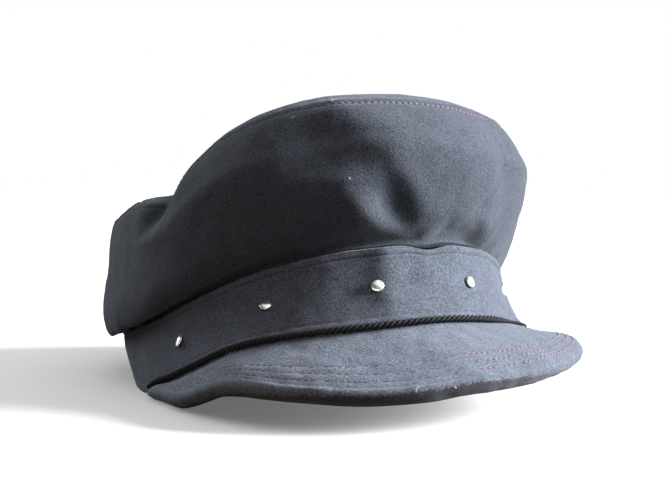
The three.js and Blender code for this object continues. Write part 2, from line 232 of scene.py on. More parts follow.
# %% Lay the floor
FLOOR_REACH = 12.0
FLOOR_PALE = (0.86, 0.86, 0.86, 1.0)
FLOOR_BOUNCE = (0.10, 0.075, 0.06, 1.0)
FLOOR_GLOW = 0.16
floor_finish, tree = new_finish("floor_paper")
ray = node(tree, "ShaderNodeLightPath").outputs
tone = blend_colours(tree, ray["Is Diffuse Ray"], FLOOR_PALE, FLOOR_BOUNCE)
paper = node(tree, "ShaderNodeBsdfDiffuse", {"Color": tone})
glow = maths(tree, "MULTIPLY", ray["Is Camera Ray"], FLOOR_GLOW)
lit = node(tree, "ShaderNodeEmission", {"Color": FLOOR_PALE, "Strength": glow})
both = node(tree, "ShaderNodeAddShader", {0: paper.outputs[0], 1: lit.outputs[0]})
node(tree, "ShaderNodeOutputMaterial", {"Surface": both.outputs[0]})

floor_mesh = bpy.data.meshes.new("floor")
corners = [(x * FLOOR_REACH, y * FLOOR_REACH, 0) for x, y in ((-1, -1), (1, -1), (1, 1), (-1, 1))]
floor_mesh.from_pydata(corners, [], [(0, 1, 2, 3)])
floor_mesh.materials.append(floor_finish)
floor = in_scene("floor", floor_mesh)
print("floor reaches", FLOOR_REACH, "m each way")

# %% [markdown]
# ## Milled wool
# The cap is cut from milled wool: a woven cloth beaten and shrunk until its fibres mat together. Its
# weave is gone. What shows is a fine, soft grain, short crossing fibres, pale flecks and slow
# changes of tone. Hair strands would show it too, but at this distance they would only cost time.
#
# One node group gives all of that as masks and a height, and each cloth in the cap places it with
# its own sizes, so that the crown, band and peak differ a little as they do when panels are cut
# from different places.

# %% The group for milled wool
FIBRE_TURNS = ((0.5, 0.3, 0.2), (-0.4, 0.9, 1.1), (1.2, -0.5, 2.0))
FIBRE_SQUEEZE = (1, 3, 3)
FLECK_EDGES = (0.66, 0.78)
PATCH_EDGES = (0.42, 0.62)
TONE_EDGES = (0.55, 1.12)
HUE_EDGES = (0.35, 0.65)
WOOL_SIZES = {
    "Grain per metre": 1100.0,
    "Fibre per metre": 750.0,
    "Mottle per metre": 110.0,
    "Fleck share": 0.35,
}


def milled_wool_group():
    """Grain, flecks and height of milled wool, from a place in metres."""
    tree = bpy.data.node_groups.new("milled_wool", "ShaderNodeTree")
    tree.interface.new_socket("Place", in_out="INPUT", socket_type="NodeSocketVector")
    for name, value in WOOL_SIZES.items():
        socket = tree.interface.new_socket(name, in_out="INPUT", socket_type="NodeSocketFloat")
        socket.default_value = value
    for name in ("Tone", "Hue", "Fleck", "Height"):
        tree.interface.new_socket(name, in_out="OUTPUT", socket_type="NodeSocketFloat")
    given = node(tree, "NodeGroupInput").outputs
    place, mottle_size = given["Place"], given["Mottle per metre"]

    grain = cloud(tree, place, given["Grain per metre"], 4.0, 0.7)
    mottle = cloud(tree, place, mottle_size, 3.0, 0.55)
    fibres = None
    for turn in FIBRE_TURNS:
        sockets = {"Vector": place, "Rotation": turn, "Scale": FIBRE_SQUEEZE}
        stretched = node(tree, "ShaderNodeMapping", sockets).outputs[0]
        strand = cloud(tree, stretched, given["Fibre per metre"], 2.0, 0.5)
        fibres = strand if fibres is None else maths(tree, "MAXIMUM", fibres, strand)

    patches = cloud(tree, place, maths(tree, "MULTIPLY", mottle_size, 2.6), 2.0, 0.5)
    fleck = between(tree, fibres, *FLECK_EDGES)
    fleck = maths(tree, "MULTIPLY", fleck, between(tree, patches, *PATCH_EDGES))
    tone = maths(tree, "MULTIPLY_ADD", fibres, 0.4, grain)
    tone = maths(tree, "MULTIPLY_ADD", mottle, 0.22, tone)
    hue = cloud(tree, place, maths(tree, "MULTIPLY", mottle_size, 0.6), 2.0, 0.5)
    result = {
        "Tone": between(tree, tone, *TONE_EDGES),
        "Hue": between(tree, hue, *HUE_EDGES),
        "Fleck": maths(tree, "MULTIPLY", fleck, given["Fleck share"]),
        "Height": maths(tree, "MULTIPLY_ADD", fibres, 0.7, grain),
    }
    node(tree, "NodeGroupOutput", result)
    return tree


milled_wool = milled_wool_group()
results = [item.name for item in milled_wool.interface.items_tree if item.in_out == "OUTPUT"]
print("milled wool gives", results)

# %% [markdown]
# ## The three cloths
# Each cloth is the wool between a dark and a light tone, with a second light tone that is a little
# rosier, pale flecks and a soft sheen. The peak's cloth also reads two numbers from its mesh at each
# point: how much painted shade darkens its underside and the lower half of its roll, with an edge
# that the grain makes ragged, and how much its colour is raised or lowered along its length, partly
# as wear and partly as painted light.

# %% Cloth materials
WOOL_RELIEF = 0.0003
# Painted shade on the peak: how far the grain makes its edge ragged, how much is added to the shade
# kept on the mesh, the two steps of its edge and the most it darkens.
PAINTED_SHADE_RAGGED = -0.7
PAINTED_SHADE_ADDED = 0.35
PAINTED_SHADE_EDGES = (0.25, 0.75)
PAINTED_SHADE_SHARE = 0.85


def finish_with(tree, height, relief, sockets):
    """Ends a material's tree with a raised surface and its shader."""
    bump = node(tree, "ShaderNodeBump", {"Height": height, "Strength": 1.0, "Distance": relief})
    shader = node(tree, "ShaderNodeBsdfPrincipled", {**sockets, "Normal": bump.outputs[0]})
    node(tree, "ShaderNodeOutputMaterial", {"Surface": shader.outputs[0]})


def with_painted_light_and_wear(tree, colour, tone, painted_shade):
    """A cloth's colour with its painted shade, and its wear and painted light, which are stored on the
    mesh.
    """
    under, wear_and_painted_light = (
        node(tree, "ShaderNodeAttribute", attribute_name=name).outputs["Fac"]
        for name in ("under", "wear_and_painted_light")
    )
    # Painted shade: darker on the peak's underside and the lower half of its roll, its edge made
    # ragged by the grain.
    painted_shade_amount = maths(tree, "ADD", under, PAINTED_SHADE_ADDED)
    painted_shade_amount = maths(tree, "MULTIPLY_ADD", tone, PAINTED_SHADE_RAGGED, painted_shade_amount)
    share = maths(tree, "MULTIPLY", between(tree, painted_shade_amount, *PAINTED_SHADE_EDGES), PAINTED_SHADE_SHARE)
    # Wear and painted light: the colour's value raised towards the shaded end at the wearer's right
    # and lowered towards the lit end.
    colour = node(tree, "ShaderNodeHueSaturation", {"Value": wear_and_painted_light, "Color": colour}).outputs[0]
    return blend_colours(tree, share, colour, painted_shade)


def wool_material(name, dark, light, rosy, fleck, relief, sizes, painted_shade=None):
    """Milled wool between two tones, with pale flecks, a soft sheen and a raised grain."""
    finish, tree = new_finish(name)
    place = node(tree, "ShaderNodeTexCoord").outputs["Object"]
    wool = node(tree, "ShaderNodeGroup", {"Place": place, **sizes}, node_tree=milled_wool).outputs
    colour = blend_colours(tree, wool["Hue"], light, rosy)
    colour = blend_colours(tree, wool["Tone"], dark, colour)
    colour = blend_colours(tree, wool["Fleck"], colour, fleck)
    # Only the peak's cloth gets painted shade under it, and wear and painted light along it.
    if painted_shade:
        colour = with_painted_light_and_wear(tree, colour, wool["Tone"], painted_shade)
    sockets = {
        "Base Color": colour,
        "Roughness": 0.95,
        "Specular IOR Level": 0.12,
        "Sheen Weight": 0.2,
        "Sheen Roughness": 0.5,
        "Sheen Tint": (0.78, 0.86, 1.0, 1.0),
    }
    finish_with(tree, wool["Height"], relief, sockets)
    return finish


# %% The cap's own cloths
crown_wool = wool_material(
    "crown_wool",
    dark=(0.024, 0.029, 0.038, 1),
    light=(0.082, 0.098, 0.128, 1),
    rosy=(0.088, 0.094, 0.127, 1),
    fleck=(0.19, 0.23, 0.29, 1),
    relief=WOOL_RELIEF,
    sizes={"Grain per metre": 1150.0, "Fleck share": 0.5},
)
band_wool = wool_material(
    "band_wool",
    dark=(0.034, 0.041, 0.054, 1),
    light=(0.133, 0.156, 0.200, 1),
    rosy=(0.131, 0.138, 0.185, 1),
    fleck=(0.28, 0.33, 0.41, 1),
    relief=WOOL_RELIEF,
    sizes={"Grain per metre": 1100.0, "Fleck share": 0.6},
)
peak_wool = wool_material(
    "peak_wool",
    dark=(0.062, 0.074, 0.096, 1),
    light=(0.160, 0.190, 0.242, 1),
    rosy=(0.176, 0.184, 0.242, 1),
    fleck=(0.40, 0.47, 0.57, 1),
    relief=WOOL_RELIEF * 1.2,
    sizes={"Grain per metre": 1000.0, "Fleck share": 1.0},
    # The colour of the painted shade on the peak's underside and the lower half of its roll.
    painted_shade=(0.030, 0.024, 0.024, 1),
)
print("cloths:", crown_wool.name, band_wool.name, peak_wool.name)

# %% [markdown]
# ## Cord, thread, silver and lint
# The cord and the piping are black and nearly matt. The sewing thread is red where the light falls
# on it; on the shaded side of the peak and on the rim away from the front a darker copy of it paints
# the shade, and the band's own thread is dark. The studs are polished metal caps with a few dull
# spots where the plating has worn, and the lint is off-white.
#
# All of them wander between two colours and two glosses in soft spots, so one function makes them,
# and only the size of the spots and the values differ.

# %% Trim materials
GLOSS_LEVEL = 0.5


def spotted_material(
    name, colours, scale, edges, roughness, relief=0.0, metallic=0.0, gloss_level=GLOSS_LEVEL
):
    """A finish whose colour and gloss wander between two values in soft spots."""
    finish, tree = new_finish(name)
    place = node(tree, "ShaderNodeTexCoord").outputs["Object"]
    spots = cloud(tree, place, scale, 3.0, 0.6)
    share = between(tree, spots, *edges, kind="LINEAR")
    sockets = {
        "Base Color": blend_colours(tree, share, *colours),
        "Metallic": metallic,
        "Specular IOR Level": gloss_level,
        "Roughness": between(tree, share, 0.0, 1.0, *roughness, kind="LINEAR"),
    }
    finish_with(tree, spots, relief, sockets)
    return finish


# %% The cap's own trims
black_cord = spotted_material(
    "black_cord",
    colours=((0.006, 0.006, 0.007, 1), (0.034, 0.035, 0.041, 1)),
    scale=1500.0,
    edges=(0.35, 0.7),
    roughness=(0.6, 0.85),
    relief=0.0001,
    gloss_level=0.08,
)
piping_wool = spotted_material(
    "piping_cord",
    colours=((0.010, 0.010, 0.012, 1), (0.045, 0.046, 0.055, 1)),
    scale=1500.0,
    edges=(0.35, 0.7),
    roughness=(0.5, 0.75),
    relief=0.0001,
    gloss_level=0.3,
)
red_thread = spotted_material(
    "red_thread",
    colours=((0.20, 0.100, 0.160, 1), (0.17, 0.145, 0.195, 1)),
    scale=240.0,
    edges=(0.42, 0.62),
    roughness=(0.7, 0.9),
)
# A darker, greyer copy of the red thread, painted shade for the peak's rows on the shaded side.
shaded_red_thread = spotted_material(
    "shaded_red_thread",
    colours=((0.060, 0.048, 0.070, 1), (0.14, 0.14, 0.18, 1)),
    scale=260.0,
    edges=(0.35, 0.65),
    roughness=(0.7, 0.9),
)
# Dark thread for the band's own stitches, and a dark copy of the rim's red thread away from the front,
# as painted shade.
dark_and_shaded_thread = spotted_material(
    "dark_and_shaded_thread",
    colours=((0.012, 0.013, 0.018, 1), (0.05, 0.055, 0.07, 1)),
    scale=300.0,
    edges=(0.35, 0.65),
    roughness=(0.6, 0.8),
)
silver = spotted_material(
    "silver_plate",
    colours=((0.82, 0.81, 0.77, 1), (0.10, 0.09, 0.08, 1)),
    scale=900.0,
    edges=(0.54, 0.64),
    roughness=(0.22, 0.5),
    relief=0.00004,
    metallic=1.0,
)
lint_white = spotted_material(
    "lint_white",
    colours=((0.75, 0.74, 0.70, 1), (0.55, 0.54, 0.52, 1)),
    scale=500.0,
    edges=(0.3, 0.7),
    roughness=(0.8, 0.9),
)
trims = (black_cord, piping_wool, red_thread, shaded_red_thread, dark_and_shaded_thread, silver, lint_white)
print("trim finishes:", [finish.name for finish in trims])

# %% [markdown]
# ## Tables that shape the cap
# A soft cap has no straight lines, but a few rows are enough to draw it: how the band's edge rises
# and flares round the head, how high and how full the crown stands, where its folds run, and how
# far the peak reaches. The same rows shape the frame's solids, but for the folds, which are finer
# here. A smooth reading between the rows, which never overshoots them, turns each short table into
# a curve.


# %% Read a table smoothly
def along(rows, column, at):
    """One column of a table, read smoothly between its rows at many places at once."""
    places = np.array([row["at"] for row in rows], float)
    values = np.array([row[column] for row in rows], float)
    climb = np.diff(values) / np.diff(places)
    before, after = climb[:-1], climb[1:]
    same_way = before * after > 0
    middle = np.where(same_way, 2 * before * after / np.where(same_way, before + after, 1), 0)
    slope = np.concatenate(([0.0], middle, [0.0]))
    at = np.clip(at, places[0], places[-1])
    i = np.clip(np.searchsorted(places, at, side="right") - 1, 0, len(places) - 2)
    run = places[i + 1] - places[i]
    rise = values[i + 1] - values[i]
    t = (at - places[i]) / run
    bow = (1 - t) * (slope[i] * run - rise) - t * (slope[i + 1] * run - rise)
    return values[i] + t * rise + t * (1 - t) * bow


def rows_of(names, *rows):
    """A table with named columns."""
    return [dict(zip(names.split(), row)) for row in rows]


# %% Rows for the band and the crown
BAND_ROWS = rows_of(
    "at lift height flare",
    (0, 1, 1, 1),
    (20, 0.935, 1, 1),
    (40, 0.79, 0.945, 0.98),
    (50, 0.655, 0.935, 0.85),
    (60, 0.45, 0.96, 0.68),
    (70, 0.25, 0.98, 0.48),
    (76, 0.14, 0.97, 0.35),
    (80, 0.06, 1, 0.25),
    (86, 0, 0.98, 0.12),
    (94, 0, 0.87, -0.1),
    (108, 0, 0.76, -0.45),
    (125, 0, 0.75, -0.55),
    (180, 0, 0.75, -0.5),
)
CROWN_ROWS = rows_of(
    "at rise sunk",
    (-180, 0.74, 1),
    (-135, 0.8, 1),
    (-111, 0.87, 1),
    (-90, 0.885, 0.9),
    (-78, 0.84, 0.7),
    (-69, 0.755, 0.55),
    (-60, 0.91, 0.4),
    (-50, 0.985, 0.2),
    (-35, 1.02, 0),
    (-15, 1, 0),
    (5, 0.975, 0),
    (20, 0.975, 0),
    (35, 1.01, 0),
    (52, 1.06, 0),
    (70, 1.02, 0.2),
    (90, 0.93, 0.7),
    (111, 0.87, 1),
    (135, 0.8, 1),
    (180, 0.74, 1),
)
CROWN_PROFILE = rows_of(
    "at full low sag",
    (0, 0, 0, 0),
    (0.04, 0.14, 0.37, 0.1),
    (0.07, 0.27, 0.5, 0.75),
    (0.1, 0.39, 0.62, 1),
    (0.14, 0.5, 0.72, 0.9),
    (0.2, 0.62, 0.77, 0.6),
    (0.35, 0.81, 0.65, 0.15),
    (0.5, 0.95, 0.52, 0),
    (0.62, 1, 0.45, 0),
    (0.74, 0.84, 0.38, 0),
    (0.85, 0.62, 0.3, 0),
    (0.94, 0.36, 0.18, 0),
    (1, 0, 0, 0),
)

# %% Rows for the folds and the peak
CROWN_FOLDS = rows_of(
    "low_at low_up high_at high_up bend depth left right",
    (-4.6, 0.03, -17.2, 0.67, 0.9, 1, 4.4, 4.1),
    (-19.9, 0.42, -22.9, 0.88, 1.65, 0.85, 7.9, 10),
    (-8.8, 0, -25.7, 0.53, 0.61, -0.72, 5, 8.4),
    (-15, 0.2, -20.4, 1.08, 1.17, -0.9, 11.4, 10),
    (-3.9, 0.12, -16.3, 0.66, 0.62, -0.71, 6.3, 4),
    (22, -0.08, 17, 0.17, 0.8, 0.5, 10, 14),
    (34.6, 0, 20.1, 1.08, 0.93, 0.4, 7.1, 6.9),
    (-76, 0.6, -68, 1.1, 1, 0.8, 4, 4),
)
PEAK_ROWS = rows_of(
    "at reach lift twist",
    (0, 1, 0.93, 0),
    (10, 0.99, 0.88, 0.41),
    (20, 0.95, 0.89, 0.74),
    (30, 0.88, 0.965, 0.9),
    (41, 0.71, 1, 1),
    (46, 0.62, 0.93, 0.97),
    (52, 0.5, 0.63, 0.87),
    (57, 0.4, 0.33, 0.57),
    (62, 0.31, 0.1, 0.25),
    (68, 0.22, 0, 0),
    (75, 0.16, 0, 0),
    (79, 0.08, 0, 0),
)
print("rows:", len(BAND_ROWS), "band,", len(CROWN_ROWS), "crown,", len(PEAK_ROWS), "peak")

# %% [markdown]
# ## From rows to surfaces
# Every piece is a row of closed sections round the head. A section is a list of points, and the
# sections are joined into one closed skin of four-sided faces, which also gets a map in metres that
# follows the cloth. Fine relief, such as a sewn groove or a soft wander of the cloth, is a move
# along the skin's own normal before it is joined.


# %% Place points round the head
def on_oval(width, length, set_back, at, offset):
    """Points on an oval round the head, moved outwards by an offset."""
    turn = np.radians(at)
    a, b = width / 2, length / 2
    out_x, out_y = np.sin(turn) / a, -np.cos(turn) / b
    size = np.hypot(out_x, out_y)
    x = a * np.sin(turn) + offset * out_x / size
    y = set_back - b * np.cos(turn) + offset * out_y / size
    return x, y


def points_from(x, y, z):
    """Places in the frame from three arrays of numbers round the head."""
    x, y, z = np.broadcast_arrays(x, y, z)
    return np.stack([x + head_centre.x, y + head_centre.y, z], axis=-1)


def outwards(grid, looped):
    """The outward normals of a grid of points, listed round the head and then up the section."""
    if looped:
        round_head = np.roll(grid, -1, 0) - np.roll(grid, 1, 0)
    else:
        round_head = np.gradient(grid, axis=0)
    normals = np.cross(round_head, np.gradient(grid, axis=1))
    return normals / np.linalg.norm(normals, axis=-1, keepdims=True)


def wander(grid, size, seed):
    """Soft random heights from about -1 to 1 that change over the given size."""
    shift = Vector((seed * 7.3, seed * 3.1, seed * 5.7))
    flat = (grid / size).reshape(-1, 3)
    return np.array([noise.noise(Vector(p) + shift) for p in flat]).reshape(grid.shape[:-1])


def uneven(grid, rows):
    """The soft unevenness of cloth, as rows of a height, a size and a seed."""
    return sum(height * wander(grid, size, seed) for height, size, seed in rows)


# %% Join sections into a skin
def body(name, points, faces, finish):
    """A closed body in the scene. All its faces are smooth but for wide end faces."""
    mesh = bpy.data.meshes.new(name)
    mesh.from_pydata(points, [], faces)
    mesh.polygons.foreach_set("use_smooth", [len(face) <= 4 for face in faces])
    mesh.materials.append(finish)
    print(name, "has", len(mesh.polygons), "faces")
    return in_scene(name, mesh)


def skin(name, sections, looped, finish):
    """One closed body from closed sections. An open row of sections gets two end faces."""
    count, size = sections.shape[:2]
    spans = count if looped else count - 1
    i, j = np.meshgrid(np.arange(spans), np.arange(size), indexing="ij")
    ahead, beside = (i + 1) % count, (j + 1) % size
    faces = np.stack([i * size + j, ahead * size + j, ahead * size + beside, i * size + beside], -1)
    faces = faces.reshape(-1, 4).tolist()
    if not looped:
        last = (count - 1) * size
        faces += [list(range(size))[::-1], list(range(last, last + size))]
    made = body(name, sections.reshape(-1, 3).tolist(), faces, finish)
    step_round = np.linalg.norm(np.diff(sections[:, 0], axis=0, append=sections[:1, 0]), axis=-1)
    step_up = np.linalg.norm(np.diff(sections[0], axis=0, append=sections[0, :1]), axis=-1)
    u = np.concatenate(([0], np.cumsum(step_round)))
    v = np.concatenate(([0], np.cumsum(step_up)))
    corners = [np.stack([u[i + a], v[j + b]], -1) for a, b in ((0, 0), (1, 0), (1, 1), (0, 1))]
    corners = np.stack(corners, axis=2).reshape(-1, 2)
    cloth = made.data.uv_layers.new(name="cloth")
    values = np.zeros((len(cloth.data), 2))
    values[: len(corners)] = corners
    cloth.data.foreach_set("uv", values.ravel())
    return made


def wear(made, slot, *nodes):
    """The piece rides on the cap and stands for its solids. The slot is not used."""
    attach(made, "root")
    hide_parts(*nodes)
    return made


def groove(distance, centre, width):
    """A smooth hollow from 0 to 1 round a line at one distance from an edge."""
    return np.exp(-(((distance - centre) / width) ** 2))


def levels(*stretches):
    """Levels up a section, in stretches of a start, an end and a count that share their ends."""
    first = [np.linspace(*stretch)[:-1] for stretch in stretches[:-1]]
    return np.concatenate([*first, np.linspace(*stretches[-1])])


# %% [markdown]
# ## Head band
# The band is a strip of wool turned over at both edges and stitched 3 mm below its top. It flares
# out over the brow and pulls in at the back of the head. At the centre front its top edge dips and
# lets the piping show, and beside the centre a soft upright ridge catches the light.
#
# A sewn line could be a bump in the material, but it would look painted on. Here it is a real
# groove, with the cloth puffed up on each side.

# %% Shape of the band
BAND_WALL = 0.0024
BAND_HEIGHT = 0.0295
BAND_LIFT = 0.0375
BAND_FLARE = 0.010
DIP_DEPTH = 0.0024
DIP_AT = 1.5
DIP_SPREAD = 5.5
BAND_DIP_POWER = 4
RIDGE_HEIGHT = 0.0018
RIDGE_AT = -12.0
RIDGE_SPREAD = 4.6
RIDGE_FULL_ABOVE = 0.35


def band_low_edge(at):
    return BAND_LIFT * along(BAND_ROWS, "lift", np.abs(at))


def band_top_edge(at):
    return band_low_edge(at) + BAND_HEIGHT * along(BAND_ROWS, "height", np.abs(at))


def band_flare(at, up):
    return BAND_FLARE * along(BAND_ROWS, "flare", np.abs(at)) * (1 - up) ** 2


def edge_dip(at):
    """How far the band's top edge dips at the centre front."""
    return DIP_DEPTH * groove(at, DIP_AT, DIP_SPREAD)


def on_band(at, up, inset):
    """Points on the band, up from its lower (0) to its top edge (1), inset from its outside."""
    ridge = RIDGE_HEIGHT * groove(at, RIDGE_AT, RIDGE_SPREAD)
    ridge = ridge * np.clip(up / RIDGE_FULL_ABOVE, 0, 1)
    x, y = on_oval(BAND_WIDTH, BAND_LENGTH, BAND_SET_BACK * up, at, band_flare(at, up) + ridge - inset)
    low, top = band_low_edge(at), band_top_edge(at)
    return points_from(x, y, low + (top - low) * up - edge_dip(at) * up**BAND_DIP_POWER)


FRONT = np.zeros(1)
print("the band stands", round(band_top_edge(FRONT)[0] * 1000, 1), "mm up in front")

# %% Make the band
BAND_STATIONS = 720
BAND_STITCH_BELOW = 0.0031
BAND_HEM_ABOVE = 0.0036
BAND_CALM = 0.003
BAND_UNEVEN = ((0.0007, 0.022, 1), (0.00022, 0.006, 2))
# Each line of relief: the edge it follows, its height, its distance from that edge and its width.
BAND_RELIEF = (
    ("top", -0.00038, BAND_STITCH_BELOW, 0.00045),
    ("top", 0.00018, BAND_STITCH_BELOW - 0.0013, 0.0009),
    ("low", 0.00028, BAND_HEM_ABOVE - 0.0015, 0.0010),
    ("low", -0.00022, BAND_HEM_ABOVE, 0.0006),
)
EDGE_TURNS = np.radians([30, 60, 90, 120, 150])
around = np.linspace(-180, 180, BAND_STATIONS, endpoint=False)[:, None]
band_ups = levels((0, 0.2, 16), (0.2, 0.8, 26), (0.8, 1, 22))[None, :]
band_inside_ups = np.array([[0.96, 0.8, 0.6, 0.4, 0.2, 0]])


def folded_edge(outside, normals, wall, drop=0.0):
    """The round of a folded cloth edge, from its outside over to its inside."""
    climb = outside[:, -1:] - outside[:, -2:-1]
    climb = climb / np.linalg.norm(climb, axis=-1, keepdims=True)
    out = normals[:, -1:]
    turns = EDGE_TURNS[None, :, None]
    centre = outside[:, -1:] - out * wall / 2
    return centre + (out * np.cos(turns) + climb * (np.sin(turns) - drop)) * wall / 2


def band_sections():
    """The band's sections round the head, and the points on its outside."""
    outside = on_band(around, band_ups, 0)
    normals = outwards(outside, True)
    height = band_top_edge(around) - band_low_edge(around)
    distance = {"top": (1 - band_ups) * height, "low": band_ups * height}
    calm = np.clip(np.minimum(distance["top"], distance["low"]) / BAND_CALM, 0, 1)
    relief = uneven(outside, BAND_UNEVEN) * calm
    for edge, rise, centre, width in BAND_RELIEF:
        relief += rise * groove(distance[edge], centre, width)
    outside = outside + normals * relief[..., None]
    top = folded_edge(outside, normals, BAND_WALL, drop=1.0)
    inside = on_band(around, band_inside_ups, BAND_WALL)
    return np.concatenate([outside[:, :-1], top, inside], axis=1), outside


band_grid, band_outside = band_sections()
band = wear(skin("band_cloth", band_grid, True, band_wool), "wool", "band")

# %% [markdown]
# ## Crown
# The crown's side is one tall strip of cloth. Over the brow it stands full and rolls out above the
# band; at the sides and back it has sunk and sags over the band's edge. Soft folds run up from the
# gathers. A cloth simulation would put them where it liked, so each fold is a row instead: where it
# starts and ends, how it bends, how deep it is and how wide to each side. Its depth fades in and
# out along its length, and a negative depth stands out as a ridge.
#
# Near the top a row of stitches holds the seam. The cloth is pulled in along the thread and puffs
# out between the stitches and the edge, so the seam catches the light as a thin line. It is drawn
# tightest over the brow and the wearer's left.

# %% Shape of the crown
CROWN_WALL = 0.0022
CROWN_RISE = 0.061
CROWN_SPREAD = 0.017
CROWN_TUCK = 0.006
CROWN_SAG = 0.009
RIM_WIDTH = 0.164
RIM_LENGTH = 0.194
RIM_SET_BACK = 0.010
FOLD_DEPTH = 0.006
FOLD_FADE_POWER = 1.3
PIPING_DIAMETER = 0.002
PIPING_PEEK = 0.0012
PIPING_DIP = 0.7
DIP_FADE_POWER = 12
CLEARANCE = 0.0003
CROWN_SEAT = BAND_WALL + PIPING_DIAMETER + 2 * CLEARANCE


def crown_rise(at):
    return CROWN_RISE * along(CROWN_ROWS, "rise", at)


def rim_height(at):
    return band_top_edge(at) + crown_rise(at)


def fold_depth(at, up):
    """How far the folds push the crown inwards."""
    depth = np.zeros(np.broadcast(at, up).shape)
    for fold in CROWN_FOLDS:
        share = (up - fold["low_up"]) / (fold["high_up"] - fold["low_up"])
        inside = (share > 0) & (share < 1)
        share = np.clip(share, 0, 1)
        centre = fold["low_at"] + (fold["high_at"] - fold["low_at"]) * share ** fold["bend"]
        fade = np.sin(np.pi * share) ** FOLD_FADE_POWER * inside
        width = np.where(at > centre, fold["left"], fold["right"])
        depth += FOLD_DEPTH * fold["depth"] * fade * groove(at, centre, width)
    return depth


def on_crown(at, up):
    """Points on the outside of the crown, up from the band (0) to the rim (1)."""
    sunk = along(CROWN_ROWS, "sunk", at)
    full = along(CROWN_PROFILE, "full", up) * (1 - sunk)
    low = along(CROWN_PROFILE, "low", up) * sunk
    sag = along(CROWN_PROFILE, "sag", up) * sunk * CROWN_SAG
    offset = CROWN_SPREAD * (full + low) - fold_depth(at, up)
    foot_x, foot_y = on_oval(BAND_WIDTH, BAND_LENGTH, BAND_SET_BACK, at, offset - CROWN_SEAT)
    rim_x, rim_y = on_oval(RIM_WIDTH, RIM_LENGTH, RIM_SET_BACK, at, offset)
    x, y = foot_x + (rim_x - foot_x) * up, foot_y + (rim_y - foot_y) * up
    start = PIPING_PEEK + CLEARANCE
    dip = PIPING_DIP * edge_dip(at) * (1 - up) ** DIP_FADE_POWER
    z = band_top_edge(at) + start + (crown_rise(at) - start) * up - sag - dip
    return points_from(x, y, z)


print("the rim stands", round(rim_height(FRONT)[0] * 1000, 1), "mm up in front")

# %% Make the crown's side
CROWN_STATIONS = 640
CROWN_UNEVEN = ((0.0010, 0.034, 3), (0.0005, 0.013, 4))
CROWN_NAP = ((0.00016, 0.005, 5),)
RIM_STITCH_BELOW = 0.0039
RIM_CALM = 0.006
RIM_RED = (-24, 27)
RIM_LOOSE = 0.4
RIM_LOOSE_FROM = 90
RIM_EASE = 12
# Each line of relief: its height, its distance from the rim and its width.
RIM_RELIEF = (
    (-0.00026, RIM_STITCH_BELOW, 0.00055),
    (-0.00012, 0.0013, 0.0005),
    (0.00020, 0.0025, 0.0010),
)
FOOT_CALM = 0.004
GATHERS = 30
GATHER_HEIGHT = 0.00014
GATHER_REACH = 0.009
GATHER_START = 0.002
GATHER_DRIFT = 4
crown_around = np.linspace(-180, 180, CROWN_STATIONS, endpoint=False)[:, None]
rim_share = 1 - CROWN_WALL / 2 / CROWN_RISE
crown_ups = levels((0, 0.12, 14), (0.12, 0.86, 58), (0.86, rim_share, 32))[None, :]


def crown_relief(outside):
    """How far the cloth stands out from its smooth form, by its unevenness, seam and gathers."""
    rise = crown_rise(crown_around)
    from_rim = (rim_share - crown_ups) * rise
    from_foot = crown_ups * rise
    calm = np.clip(np.minimum(from_rim / RIM_CALM, from_foot / FOOT_CALM), 0, 1)
    relief = uneven(outside, CROWN_UNEVEN) * calm + uneven(outside, CROWN_NAP)
    tight = np.clip((crown_around - RIM_RED[0]) / RIM_EASE + 0.5, 0, 1)
    taut = RIM_LOOSE + (1 - RIM_LOOSE) * tight * (crown_around < RIM_LOOSE_FROM)
    for height, centre, width in RIM_RELIEF:
        relief += height * taut * groove(from_rim, centre, width)
    gathers = np.sin(np.radians(crown_around * GATHERS) + GATHER_DRIFT * wander(outside, 0.03, 6))
    gathers *= groove(from_foot, 0, GATHER_REACH) * np.clip(from_foot / GATHER_START, 0, 1)
    return relief + GATHER_HEIGHT * gathers


def crown_sections():
    """The crown's sections round the head, and the points on its outside and its inside."""
    smooth = on_crown(crown_around, crown_ups)
    normals = outwards(smooth, True)
    inner = smooth - normals * CROWN_WALL
    outside = smooth + normals * crown_relief(smooth)[..., None]
    rim = folded_edge(outside, normals, CROWN_WALL)
    inside = inner[:, ::-6][:, 1:]
    hem = outside[:, :1] - [0, 0, CROWN_TUCK]
    inner_x, inner_y = on_oval(
        BAND_WIDTH, BAND_LENGTH, BAND_SET_BACK, crown_around, -CROWN_SEAT - CROWN_WALL
    )
    inner_foot = points_from(inner_x, inner_y, outside[:, :1, 2])
    inner_hem = inner_foot - [0, 0, CROWN_TUCK]
    grid = np.concatenate([hem, outside, rim, inside, inner_foot, inner_hem], axis=1)
    return grid, outside, inner


crown_grid, crown_outside, crown_inside = crown_sections()
crown = wear(skin("crown_cloth", crown_grid, True, crown_wool), "wool", "crown_side")

# %% [markdown]
# ## Top of the crown
# An oval of cloth closes the crown. Nothing stiffens it, so it lies lower than the rim, with its
# edge turned down into the seam. A square grid of points would meet the oval seam in steps, so
# rings of points run from the seam to the middle: each ring keeps the rim's own outline, shrunk.
#
# The cloth has two sides and a thickness. Its sections run from the middle underneath, out to the
# seam and back over the top, and one point at each end closes them.

# %% Make the top
TOP_SHEET = 0.002
TOP_SINK = 0.016
TOP_SEAM_GAP = 0.0001
TOP_TURN = 0.0011
TOP_CALM = 0.008
TOP_UNEVEN = ((0.0016, 0.045, 7), (0.0005, 0.014, 8))
PUCKERS = 24
PUCKER_HEIGHT = 0.0005
PUCKER_REACH = 0.012
top_levels = levels((0, 0.08, 10), (0.08, 0.985, 44))[None, :]


